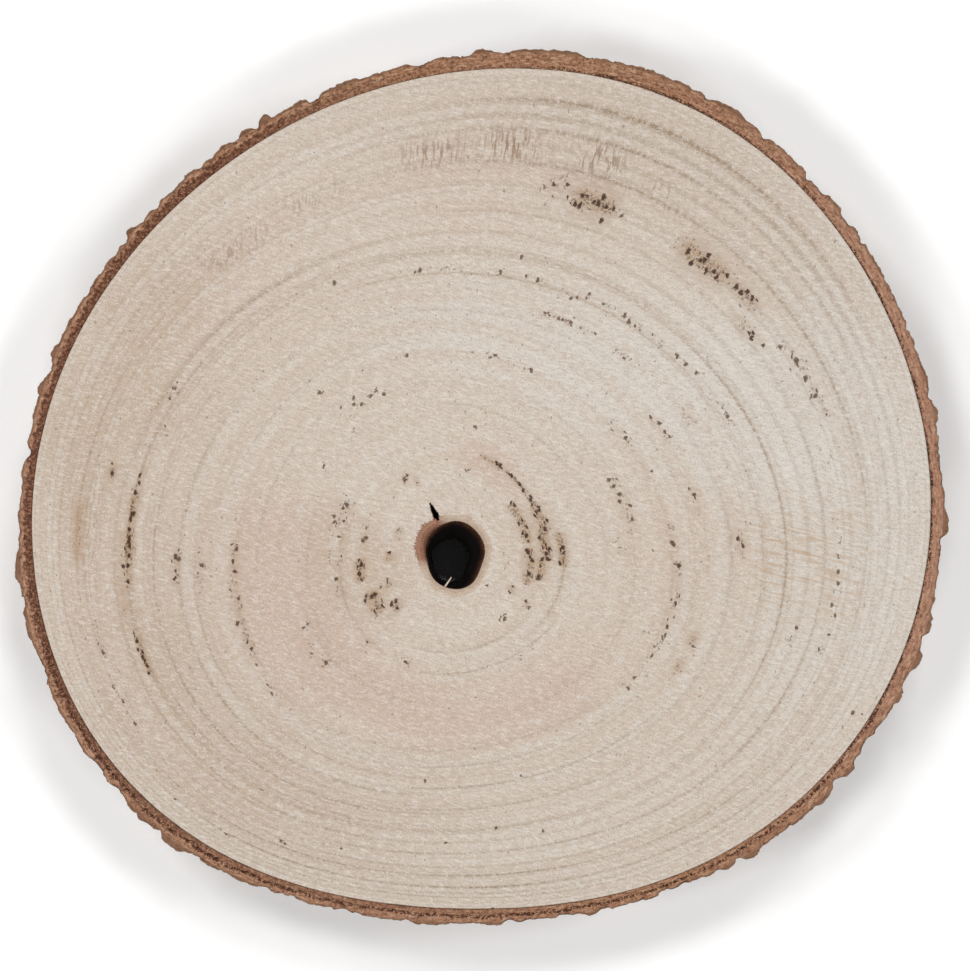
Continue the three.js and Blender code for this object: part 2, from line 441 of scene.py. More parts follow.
class Finish:
    """A procedural material: its node tree, with short ways to add to it."""

    def __init__(self, name: str) -> None:
        """Start an empty material.

        Args:
            name: the material's name.
        """
        self.material = bpy.data.materials.new(name)
        self.material.use_nodes = True
        self.tree = self.material.node_tree
        self.tree.nodes.clear()
        self.object_place = self.add("ShaderNodeTexCoord", {}, {}, "Object")

    def add(self, kind: str, settings: dict, inputs: dict, output: str | int = 0) -> Value:
        """Add a node of any type.

        Args:
            kind: the node's type name.
            settings: its properties, set first.
            inputs: values or links for its sockets, by name or number.
            output: which output to wrap.

        Returns:
            The wrapped output; its socket's node gives the others.
        """
        node = self.tree.nodes.new(kind)
        for key, value in settings.items():
            setattr(node, key, value)
        for key, value in inputs.items():
            if isinstance(value, Value):
                self.tree.links.new(value.socket, node.inputs[key])
            else:
                node.inputs[key].default_value = value
        return Value(self, node.outputs[output])

    def painted(self, name: str, is_vector: bool = False) -> Value:
        """Read what the piece keeps at its vertices under a name."""
        return self.add("ShaderNodeAttribute", {"attribute_name": name}, {}, "Vector" if is_vector else "Fac")

    def split(self, name: str) -> tuple[Value, Value, Value]:
        """Read three painted numbers that are kept as one vector."""
        parts = self.add("ShaderNodeSeparateXYZ", {}, {"Vector": self.painted(name, True)})
        return tuple(Value(self, parts.socket.node.outputs[axis]) for axis in range(3))

    def in_mm(self) -> Value:
        """Position on the object in mm."""
        return self.turned(self.object_place, (1 / MM, 1 / MM, 1 / MM))

    def turned(self, vector: Value, scale: tuple[float, float, float], turn: float = 0.0) -> Value:
        """Turn a pattern's coordinates about Z, then scale them.

        Args:
            vector: the coordinates.
            scale: factor for each axis.
            turn: the angle in degrees.

        Returns:
            The new coordinates.
        """
        sizes = tuple(1 / factor for factor in scale)
        inputs = {"Vector": vector, "Rotation": (0, 0, -math.radians(turn)), "Scale": sizes}
        return self.add("ShaderNodeMapping", {"vector_type": "TEXTURE"}, inputs)

    def noise(self, vector: Value, grain: Grain) -> Value:
        """Noise around 0.5.

        Args:
            vector: coordinates of the pattern.
            grain: the pattern.

        Returns:
            The noise.
        """
        if grain.stretch:
            vector = self.turned(vector, grain.stretch, grain.turn)
        inputs = {"Vector": vector, "Scale": grain.scale, "Detail": grain.detail}
        inputs.update({"Roughness": grain.roughness, "Distortion": grain.twist})
        settings = {"noise_dimensions": "3D" if grain.deep else "2D"}
        return self.add("ShaderNodeTexNoise", settings, inputs, "Fac")

    def bands(self, along: Value, scale: float, detail: float) -> Value:
        """Noise around 0.5 that changes along one number only, with scale grains to its unit."""
        inputs = {"W": along, "Scale": scale, "Detail": detail}
        return self.add("ShaderNodeTexNoise", {"noise_dimensions": "1D"}, inputs, "Fac")

    def dots(self, vector: Value, scale: float) -> tuple[Value, Value]:
        """Scatter dots over x and y.

        Args:
            vector: coordinates of the pattern.
            scale: dots to a unit of length.

        Returns:
            The distance to the nearest dot in dot spacings, and a random number between 0 and 1 for it.
        """
        inputs = {"Vector": vector, "Scale": scale}
        distance = self.add("ShaderNodeTexVoronoi", {"voronoi_dimensions": "2D"}, inputs, "Distance")
        colour = Value(self, distance.socket.node.outputs["Color"])
        return distance, self.add("ShaderNodeSeparateColor", {}, {"Color": colour}, "Red")

    def mix(self, share: "Value | float", first: "Value | Colour", second: "Value | Colour") -> Value:
        """Blend two colours: the first where the share is 0, the second where it is 1."""
        return self.add("ShaderNodeMix", {"data_type": "RGBA"}, {0: share, 6: first, 7: second}, 2)

    def shade(self, colour: Value, factor: Value) -> Value:
        """Multiply a colour by a number.

        Args:
            colour: the colour.
            factor: the number.

        Returns:
            The lighter or darker colour.
        """
        grey = self.add("ShaderNodeCombineColor", {}, {"Red": factor, "Green": factor, "Blue": factor})
        multiply = {"data_type": "RGBA", "blend_type": "MULTIPLY", "clamp_result": False}
        return self.add("ShaderNodeMix", multiply, {0: 1.0, 6: colour, 7: grey}, 2)

    def surface(self, colour: Value, roughness: float, height: Value, depth: float, gloss: float) -> None:
        """End the material in its shader.

        Args:
            colour: the base colour.
            roughness: the surface's roughness.
            height: relief, 0 to 1, in units of the depth.
            depth: the relief's depth in mm.
            gloss: the specular level, 0.5 for a plain dielectric.
        """
        relief = {"Height": height, "Strength": 1.0, "Distance": depth * MM}
        bumped = self.add("ShaderNodeBump", {}, relief, "Normal")
        inputs = {"Base Color": colour, "Roughness": roughness, "Normal": bumped, "Specular IOR Level": gloss}
        shader = self.add("ShaderNodeBsdfPrincipled", {}, inputs)
        self.add_output(shader)

    def add_output(self, shader: Value) -> None:
        """Link the shader to the material's output."""
        output = self.tree.nodes.new("ShaderNodeOutputMaterial")
        self.tree.links.new(shader.socket, output.inputs["Surface"])


@dataclass(frozen=True)
class PoreRun:
    """A run of open pores along a growth ring, from one angle to another."""

    start: float
    end: float
    share: float
    density: float
    brown: float = 0.0
    width: float = 1.3


# Growth-ring lines: (ring share, which is 0 at the pith and 1 at the bark, darkness, middle, half angle).
RING_ARCS = (
    (0.226, 0.6, 285, 45), (0.27, 0.6, 195, 45), (0.28, 0.75, 285, 50), (0.258, 0.75, 345, 40),
    (0.338, 0.4, 190, 50), (0.352, 0.35, 50, 60), (0.355, 0.35, 230, 45), (0.41, 0.4, 345, 70),
    (0.41, 0.3, 85, 45), (0.425, 0.3, 45, 45), (0.443, 0.4, 165, 45), (0.488, 0.4, 195, 45),
    (0.488, 0.3, 355, 55), (0.48, 0.4, 275, 55), (0.488, 0.15, 75, 45), (0.508, 0.4, 240, 50),
    (0.526, 0.6, 275, 60), (0.533, 0.4, 0, 45), (0.526, 0.4, 135, 40), (0.556, 0.55, 245, 40),
    (0.574, 0.55, 200, 35), (0.588, 0.85, 285, 45), (0.594, 0.4, 90, 60), (0.607, 0.9, 225, 50),
    (0.607, 0.55, 350, 50), (0.607, 0.55, 165, 35), (0.634, 0.4, 230, 50), (0.653, 0.7, 280, 35),
    (0.665, 1.0, 225, 60), (0.67, 0.5, 0, 55), (0.677, 0.55, 75, 50), (0.665, 0.45, 160, 30),
    (0.703, 0.7, 235, 50), (0.706, 0.5, 135, 30), (0.722, 0.7, 250, 90), (0.716, 0.8, 10, 45),
    (0.722, 0.55, 75, 55), (0.727, 0.6, 170, 45), (0.754, 0.75, 135, 32), (0.758, 0.4, 230, 50),
    (0.775, 0.5, 225, 40), (0.797, 0.8, 280, 65), (0.793, 0.75, 350, 50), (0.797, 0.5, 62, 50),
    (0.822, 0.6, 225, 40), (0.834, 0.3, 55, 40), (0.848, 0.4, 270, 60), (0.866, 0.6, 165, 35),
    (0.877, 1.1, 262, 75), (0.877, 0.95, 52, 60), (0.875, 0.5, 345, 45), (0.892, 0.5, 225, 45),
    (0.904, 0.5, 60, 50), (0.921, 1.15, 262, 80), (0.924, 0.95, 65, 48), (0.919, 0.5, 165, 50),
    (0.919, 0.4, 0, 45), (0.943, 0.8, 55, 52), (0.945, 0.5, 265, 70), (0.963, 1.35, 60, 36),
    (0.959, 0.5, 250, 60), (0.963, 0.2, 120, 50), (0.978, 0.5, 230, 80), (0.984, 0.4, 60, 60),
)

# Runs of pores: (first angle, last angle, ring share, density, brownness, width in mm).
PORE_RUNS = tuple(PoreRun(*row) for row in (
    (374, 393, 0.231, 1.0, 1.0, 1.6), (356, 376, 0.221, 1.0, 1.0, 1.6), (344, 358, 0.208, 0.8, 0.9, 1.4),
    (389, 436, 0.234, 0.75, 0.6, 1.0), (369, 403, 0.184, 0.85, 0.9, 1.5), (354, 372, 0.256, 0.85, 0.9, 1.5),
    (338, 366, 0.183, 0.85, 0.95, 1.5), (158, 176, 0.225, 0.5, 0.2), (182, 196, 0.226, 0.95, 1.0, 1.4),
    (203, 218, 0.212, 0.8, 0.8, 2.4), (177, 186, 0.164, 0.7, 0.8), (216, 226, 0.175, 0.8, 0.8, 1.7),
    (199, 208, 0.17, 0.6, 0.4), (165, 168, 0.796, 0.8, 0.7, 1.4), (172, 181, 0.862, 0.15, 0.7, 2.0),
    (176, 192, 0.742, 0.05, 0.5, 1.6), (191, 196, 0.834, 0.7, 0.3), (153, 166, 0.149, 0.5, 0.4),
    (325, 332, 0.16, 0.6, 0.7), (115, 120, 0.177, 0.8, 0.5), (121, 126, 0.197, 0.8, 0.5),
    (54, 62, 0.165, 0.6), (79, 84, 0.185, 0.7, 0.3), (285, 291, 0.19, 0.5), (304, 313, 0.19, 0.6),
    (322, 328, 0.205, 0.6, 0.3), (344, 362, 0.125, 0.6), (15, 22, 0.13, 0.5),
    (152, 171, 0.282, 0.65, 0.2, 2.2), (177, 187, 0.28, 0.6, 0.2, 2.2), (191, 201, 0.28, 0.65, 0.3, 2),
    (224, 229, 0.27, 0.5, 0.3), (239, 251, 0.265, 0.6, 0.2), (297, 303, 0.295, 0.5),
    (326, 331, 0.265, 0.5, 0.3), (206, 221, 0.37, 0.45, 0.15, 3), (126, 131, 0.365, 0.55),
    (143, 149, 0.365, 0.6), (359, 366, 0.38, 0.45, 0.1, 2), (6, 26, 0.415, 0.6, 0.15, 1.6),
    (113, 131, 0.41, 0.35, 0, 3), (357, 369, 0.492, 0.55, 0.2), (24, 41, 0.496, 0.65, 0.15),
    (66, 86, 0.494, 0.5), (102, 106, 0.49, 0.6), (115, 119, 0.49, 0.6), (128, 132, 0.49, 0.7),
    (143, 147, 0.49, 0.7), (177, 209, 0.492, 0.65, 0.25, 1.6), (214, 223, 0.5, 0.6, 0.15),
    (321, 342, 0.5, 0.55, 0.1), (341, 359, 0.5, 0.75, 0.35), (332, 335, 0.56, 0.8, 0.8),
    (339, 342, 0.56, 0.8, 0.8), (9, 16, 0.555, 0.6, 0.2), (27, 36, 0.565, 0.6, 0.2),
    (179, 188, 0.56, 0.6, 0.2), (27, 33, 0.624, 0.6, 0.2), (44, 53, 0.62, 0.65, 0.1),
    (57, 71, 0.624, 0.55, 0.1), (0, 5, 0.625, 0.7, 0.4), (179, 187, 0.615, 0.6, 0.3),
    (24, 64, 0.686, 0.6, 0.1), (62, 102, 0.684, 0.4), (165, 170, 0.73, 0.5, 0.4),
    (169, 174.5, 0.726, 0.9, 0.9, 1.3), (175.2, 181.2, 0.725, 1.0, 1.0, 1.7),
    (181, 186, 0.726, 0.6, 0.6, 1.2), (194, 202, 0.73, 0.9, 0.8, 1.1), (345, 351, 0.75, 0.6, 0.1),
    (344, 358, 0.825, 0.55, 0.1), (358, 364, 0.82, 0.5), (13, 18, 0.82, 0.5), (20, 34, 0.84, 0.45, 0.15, 2),
    (39, 45, 0.842, 0.75, 0.7, 1.6), (45, 54, 0.838, 0.85, 0.95, 2.2), (65, 72, 0.84, 0.9, 0.9, 2.6),
    (72, 76, 0.85, 0.5, 0.3, 2.4), (34, 41, 0.808, 0.6, 0.4), (199, 211, 0.845, 0.45),
    (148, 153, 0.745, 0.65, 0.1), (228, 232, 0.93, 0.4), (236, 240, 0.86, 0.4),
))

# Radial flecks, where the rays stand out: (angle, half angle, share, half share, strength).
FLECK_PATCHES = (
    (93, 8, 0.895, 0.035, 0.7), (82, 7, 0.9, 0.04, 0.8), (70, 6, 0.9, 0.04, 0.8), (60, 5, 0.885, 0.03, 0.5),
    (126, 12, 0.865, 0.04, 0.45), (112, 8, 0.88, 0.03, 0.4), (176, 14, 0.83, 0.05, 0.35),
)

# Zones of each tint: (angle, half angle, ring share, half share, amount).
TINT_ZONES = {
    Tint.CHALK: (
        (0, 400, 0.05, 0.26, 0.2), (10, 60, 0.85, 0.4, 0.75), (290, 60, 0.8, 0.35, 0.25),
        (65, 75, 0.55, 0.3, 0.6),
    ),
    Tint.BLUSH: (
        (235, 60, 0.35, 0.14, 0.9), (65, 40, 0.23, 0.09, 0.9), (190, 60, 0.42, 0.3, 0.5),
        (290, 80, 0.4, 0.16, 0.9), (195, 50, 0.38, 0.2, 0.9), (130, 45, 0.8, 0.3, 0.5),
        (190, 50, 0.85, 0.25, 0.6), (5, 25, 0.5, 0.25, 0.45), (85, 20, 0.85, 0.2, 0.5),
    ),
    Tint.STRAW: (
        (190, 85, 0.72, 0.4, 0.75), (245, 60, 0.72, 0.3, 0.4), (195, 55, 0.2, 0.2, 1.0),
        (5, 60, 0.2, 0.12, 0.8), (150, 35, 0.9, 0.25, 0.8), (60, 40, 0.95, 0.15, 0.25),
        (170, 25, 0.32, 0.12, 0.5), (0, 16, 0.75, 0.2, 0.4),
    ),
}


@dataclass(frozen=True)
class Hollow:
    """The pith hollow: its rows from the upper face down, its crack and the soft tissue round its rim."""

    growth: Growth
    heights: tuple[float, ...] = (1.0, 0.86, 0.66, 0.42, 0.18, 0.0)
    radii: tuple[float, ...] = (10.2, 9.7, 7.9, 6.4, 6.8, 7.8)
    shifts_x: tuple[float, ...] = (0.0, -0.2, -0.9, -1.7, -1.6, -1.4)
    shifts_y: tuple[float, ...] = (0.0, -0.3, -1.3, -2.2, -2.0, -1.7)
    section: Waves = ((2, 0.75, 90), (3, 0.25, 30), (5, 0.18, 10))
    crack_angle: float = 116.0
    crack_base: float = 12.6
    crack_reach: float = 18.2
    crack_width: float = 2.0
    crack_depth: float = 9.0
    crescent_angle: float = 152.0
    crescent_half: float = 68.0
    tissue: float = 2.2
    torn_tissue: float = 1.3
    ragged: Waves = ((3, 0.2, 30), (11, 0.12, 90 / 11))
    rows: int = 22
    row_ends: tuple[float, float] = (0.995, 0.005)
    lumps: Lumps = Lumps(0.7, 6.0, Seed.WALL_LUMPS)
    fibres: Lumps = Lumps(0.3, (1.1, 1.1, 8.0), Seed.WALL_FIBRES)

    def level(self, values: tuple[float, ...], height: np.ndarray) -> np.ndarray:
        """Read a row value at heights given as shares of the thickness, by straight lines between rows."""
        return np.interp(height, self.heights[::-1], values[::-1])

    def wall(self, degrees: np.ndarray, height: np.ndarray) -> np.ndarray:
        """Distance of the wall from the pith's line, at angles and at heights as shares of the thickness."""
        return self.level(self.radii, height) + waves(self.section, degrees)

    def crack(self, degrees: np.ndarray, distance: np.ndarray) -> np.ndarray:
        """Depth of the crack that gapes in the upper face, outside the crescent.

        Along it u goes from 0 at its base to 1 at its tip, and half its width is half the greatest width
        times the lesser of 5u and (1 - u) to the 0.7. Its sides fall away steeply.

        Args:
            degrees: angles at the pith.
            distance: distances from the pith.

        Returns:
            The depth in mm.
        """
        along = np.clip((distance - self.crack_base) / (self.crack_reach - self.crack_base), 0, 1)
        half = self.crack_width / 2 * np.minimum(5 * along, (1 - along) ** 0.7)
        turn = np.radians(np.clip(turn_between(degrees, self.crack_angle), -60, 60))
        across = np.abs(distance * np.sin(turn))
        return self.crack_depth * smooth_step(across / (half + 0.01), 1.15, 0.6)

    def crescent(self, degrees: np.ndarray) -> np.ndarray:
        """Strength of the crescent of torn tissue at the upper left of the rim, 0 to 1."""
        return hump(turn_between(degrees, self.crescent_angle) / self.crescent_half)

    def tissue_width(self, degrees: np.ndarray) -> np.ndarray:
        """Width of the brown tissue on the rim: a thin ring that widens to the crescent."""
        torn = self.torn_tissue * self.crescent(degrees) ** 0.5
        return self.tissue + torn + waves(self.ragged, degrees)

    def points(self, degrees: np.ndarray) -> np.ndarray:
        """Torn wall of the hollow, from just under the upper rim to just above the lower one.

        Each point lies on the row's outline, moved in or out by broad and fibrous roughness.

        Args:
            degrees: the columns' angles.

        Returns:
            Positions by column, row and axis.
        """
        height = np.linspace(*self.row_ends, self.rows)[None, :]
        angle = degrees[:, None]
        z = np.broadcast_to(height * self.growth.thickness, (len(degrees), self.rows))
        radius = np.broadcast_to(self.wall(angle, height), z.shape)
        even = polar(radius, angle, z)
        fade = smooth_step(height, 1.0, 0.9) * smooth_step(height, 0.0, 0.1)
        torn = radius + fade * (self.lumps.at(even) + self.fibres.at(even))
        return self.growth.round_pith(torn, angle, z) + self.shift(height)

    def shift(self, height: np.ndarray) -> np.ndarray:
        """Shift of the hollow's middle from the pith, at heights given as shares of the thickness."""
        x, y = self.level(self.shifts_x, height), self.level(self.shifts_y, height)
        return np.stack([x, y, 0 * x], axis=-1)


@dataclass
class WoodDisc:
    """The wood: two sawn faces with their rings, the sawn edge under the bark and the pith hollow."""

    growth: Growth
    hollow: Hollow
    columns: int = 320
    upper_rows: int = 230
    lower_rows: int = 24
    rim_steps: tuple[float, ...] = (0.0, 0.04, 0.09, 0.16, 0.24, 0.32, 0.4, 0.48, 0.56, 0.65, 0.74, 0.87)
    first_share: float = 0.14
    edge_wear: float = 0.3
    edge_rows: int = 8
    groove_depth: float = 0.21
    waviness: Lumps = Lumps(0.1, 9.0, Seed.SAWN_FACE)
    tissue_depth: float = 0.3
    torn_depth: float = 1.7
    shift_fade: tuple[float, float] = (0.2, 0.08)
    wall_share: float = 0.07
    no_rim: float = 99.0
    line_width: float = 0.4
    shoulder_width: float = 2.4
    shoulder: float = 0.15
    stray_pores: float = 0.002
    run_width: float = 0.7
    stain_width: float = 1.9
    degrees: np.ndarray = field(init=False)

    def __post_init__(self) -> None:
        """Spread the columns evenly round the pith."""
        self.degrees = np.arange(self.columns) * 360.0 / self.columns

    def shares(self, rows: int) -> np.ndarray:
        """Even ring shares for a face's rows, with the row nearest each ring line moved onto it.

        Args:
            rows: how many rows.

        Returns:
            The shares, rising.
        """
        shares = np.linspace(self.first_share, 1.0, rows)
        for line in sorted({arc[0] for arc in RING_ARCS}):
            shares[1 + np.abs(shares[1:-1] - line).argmin()] = line
        return np.sort(shares)

    def ring_depth(self, share: np.ndarray, degrees: np.ndarray) -> np.ndarray:
        """Darkness of the ring lines: a bell curve across each line on a broader one, fading to its ends.

        Args:
            share: ring shares.
            degrees: angles at the pith.

        Returns:
            About 0 between the lines and up to 1.5 on the strongest.
        """
        total = np.zeros(np.broadcast(share, degrees).shape)
        for number, (line, darkness, middle, half) in enumerate(RING_ARCS):
            offset = (share - line) * self.growth.ring_radius_mean
            fade = hump(turn_between(degrees, middle) / half) ** 0.5
            uneven = 0.85 + 0.15 * np.sin(np.radians(9 * degrees + 77 * number))
            sharp = np.exp(-(offset / self.line_width) ** 2)
            soft = self.shoulder * np.exp(-(offset / self.shoulder_width) ** 2)
            total += darkness * fade * uneven * (sharp + soft)
        return total

    def face(self, side: Side) -> tuple[np.ndarray, np.ndarray, np.ndarray]:
        """Grid of a sawn face, from the edge of the wood in to the rim of the hollow.

        The outer rows follow the growth rings and the last few close in on the rim. The height is the
        face's own, less the ring grooves, a slight waviness and the slope of the torn tissue at the rim.

        Args:
            side: which face.

        Returns:
            Positions by column, row and axis, the rows' ring shares, and the distance from the hollow's wall
            with the depth in the crack.
        """
        rows = self.upper_rows if side is Side.UPPER else self.lower_rows
        angle = self.degrees[:, None]
        shares = self.shares(rows)[None, :]
        radius = self.growth.ring(shares, angle)
        radius[:, -1] -= self.edge_wear
        level = np.full((1, 1), 1.0 if side is Side.UPPER else 0.0)
        rim = self.hollow.wall(angle, level)
        first = radius[:, :1]
        steps = np.array(self.rim_steps)[None, :]
        near = rim + (first - rim) * steps
        near_share = self.first_share - (first - near) / self.growth.ring_radius_mean
        radius = np.concatenate([near, radius], axis=1)
        share = np.concatenate([near_share, np.broadcast_to(shares, (self.columns, rows))], axis=1)
        fade = smooth_step(share, *self.shift_fade)[..., None]
        points = self.growth.round_pith(radius, angle, 0 * radius) + self.hollow.shift(level) * fade
        from_wall = radius - rim
        grooves = self.groove_depth * self.ring_depth(share, angle)
        waviness = self.waviness.height + self.waviness.at(points)
        slope = np.clip(1 - from_wall / self.hollow.tissue_width(angle), 0, 1) ** 1.5
        tissue = slope * (self.tissue_depth + self.torn_depth * self.hollow.crescent(angle))
        depth = self.hollow.crack(angle, radius) if side is Side.UPPER else 0 * radius
        sunk = grooves + waviness + tissue + depth
        points[..., 2] = self.growth.thickness - sunk if side is Side.UPPER else sunk
        return points[:, ::-1], share[:, ::-1], np.stack([from_wall, depth], axis=-1)[:, ::-1]

    def build(self, shift: np.ndarray) -> bpy.types.Object:
        """Join the faces, the edge and the hollow into one closed band and paint its marks.

        Args:
            shift: move to the frame.

        Returns:
            The piece.
        """
        upper, upper_share, upper_place = self.face(Side.UPPER)
        lower, lower_share, lower_place = (part[:, ::-1] for part in self.face(Side.LOWER))
        wall = self.hollow.points(self.degrees)
        heights = np.linspace(self.edge_wear, self.growth.thickness - self.edge_wear, self.edge_rows)
        z = np.broadcast_to(heights, (self.columns, self.edge_rows))
        edge = self.growth.from_pith(self.growth.wood_outline, self.degrees)[:, None]
        side = self.growth.round_pith(edge + 0 * z, self.degrees[:, None], z)
        loops = np.concatenate([side, upper, wall, lower], axis=1)
        piece = closed_band("wood_disc", loops, shift)
        wall_share = np.full(wall.shape[:2], self.wall_share)
        share = np.concatenate([np.ones(z.shape), upper_share, wall_share, lower_share], axis=1)
        no_rim = np.full(z.shape, self.no_rim)
        rim = np.concatenate([no_rim, upper_place[..., 0], 0 * wall_share, lower_place[..., 0]], axis=1)
        # depth down the hollow, which the material darkens as painted shade
        down = self.growth.thickness - wall[..., 2]
        depth = np.concatenate([0 * z, upper_place[..., 1], down, lower_place[..., 1]], axis=1)
        self.paint_marks(piece, share, rim, depth, loops[..., 2])
        return piece

    def paint_marks(
        self, piece: bpy.types.Object, share: np.ndarray, rim: np.ndarray, depth: np.ndarray, z: np.ndarray
    ) -> None:
        """Keep at each vertex its place among the rings and the strength of the marks there.

        Args:
            piece: the wood.
            share: ring share by column and point.
            rim: distance from the wall of the hollow, in mm.
            depth: depth down the hollow or the crack, in mm, and 0 on the faces, which the material darkens
                with as painted shade.
            z: height, in mm.
        """
        degrees = np.broadcast_to(self.degrees[:, None], share.shape)
        paint(piece, "ring_place", polar(share * self.growth.ring_radius_mean, degrees, z))
        pores, brown = self.pore_fields(share, degrees)
        tints = [self.tint_field(tint, share, degrees) for tint in Tint]
        paint(piece, "tints", np.stack(tints, axis=-1))
        paint(piece, "marks", np.stack([pores, brown, self.fleck_field(share, degrees)], axis=-1))
        streak = hump(turn_between(degrees, 0) / 17) * hump((share - 0.75) / 0.2)
        paint(piece, "rings", np.stack([self.ring_depth(share, degrees), share, streak], axis=-1))
        tissue = rim / self.hollow.tissue_width(degrees)
        paint(piece, "pith", np.stack([tissue, depth, self.hollow.crescent(degrees)], axis=-1))

    def pore_fields(self, share: np.ndarray, degrees: np.ndarray) -> tuple[np.ndarray, np.ndarray]:
        """Density of the open pores and how brown they are.

        Each run is a bell curve across its ring times a soft-ended window along it, and the strongest
        run counts.

        Args:
            share: ring shares.
            degrees: angles at the pith.

        Returns:
            The two fields, 0 to 1.
        """
        pores = np.full(share.shape, self.stray_pores)
        brown = np.zeros(share.shape)
        for run in PORE_RUNS:
            half = (run.end - run.start) / 2
            off = np.abs(turn_between(degrees, (run.start + run.end) / 2))
            along = smooth_step(off, half + 1.5, max(half - 1.5, 0))
            across = (share - run.share) * self.growth.ring_radius_mean / (run.width * self.run_width)
            pores = np.maximum(pores, run.density * along * np.exp(-across * across))
            brown = np.maximum(brown, run.brown * along * np.exp(-(across / self.stain_width) ** 2))
        return pores, brown

    def fleck_field(self, share: np.ndarray, degrees: np.ndarray) -> np.ndarray:
        """Strength of the radial flecks: the strongest of the soft patches they stand in.

        Args:
            share: ring shares.
            degrees: angles at the pith.

        Returns:
            The strength, 0 to 1.
        """
        patches = [
            strength * hump(turn_between(degrees, angle) / half_angle) * hump((share - middle) / half_share)
            for angle, half_angle, middle, half_share, strength in FLECK_PATCHES
        ]
        return np.max(patches, axis=0)

    def tint_field(self, tint: Tint, share: np.ndarray, degrees: np.ndarray) -> np.ndarray:
        """Amount of one tint: the sum of its zones, each a smooth hump along and across the rings.

        Args:
            tint: which tint.
            share: ring shares.
            degrees: angles at the pith.

        Returns:
            The amount, from 0.
        """
        return sum(
            amount * hump(turn_between(degrees, angle) / half_angle) * hump((share - middle) / half_share)
            for angle, half_angle, middle, half_share, amount in TINT_ZONES[tint]
        )


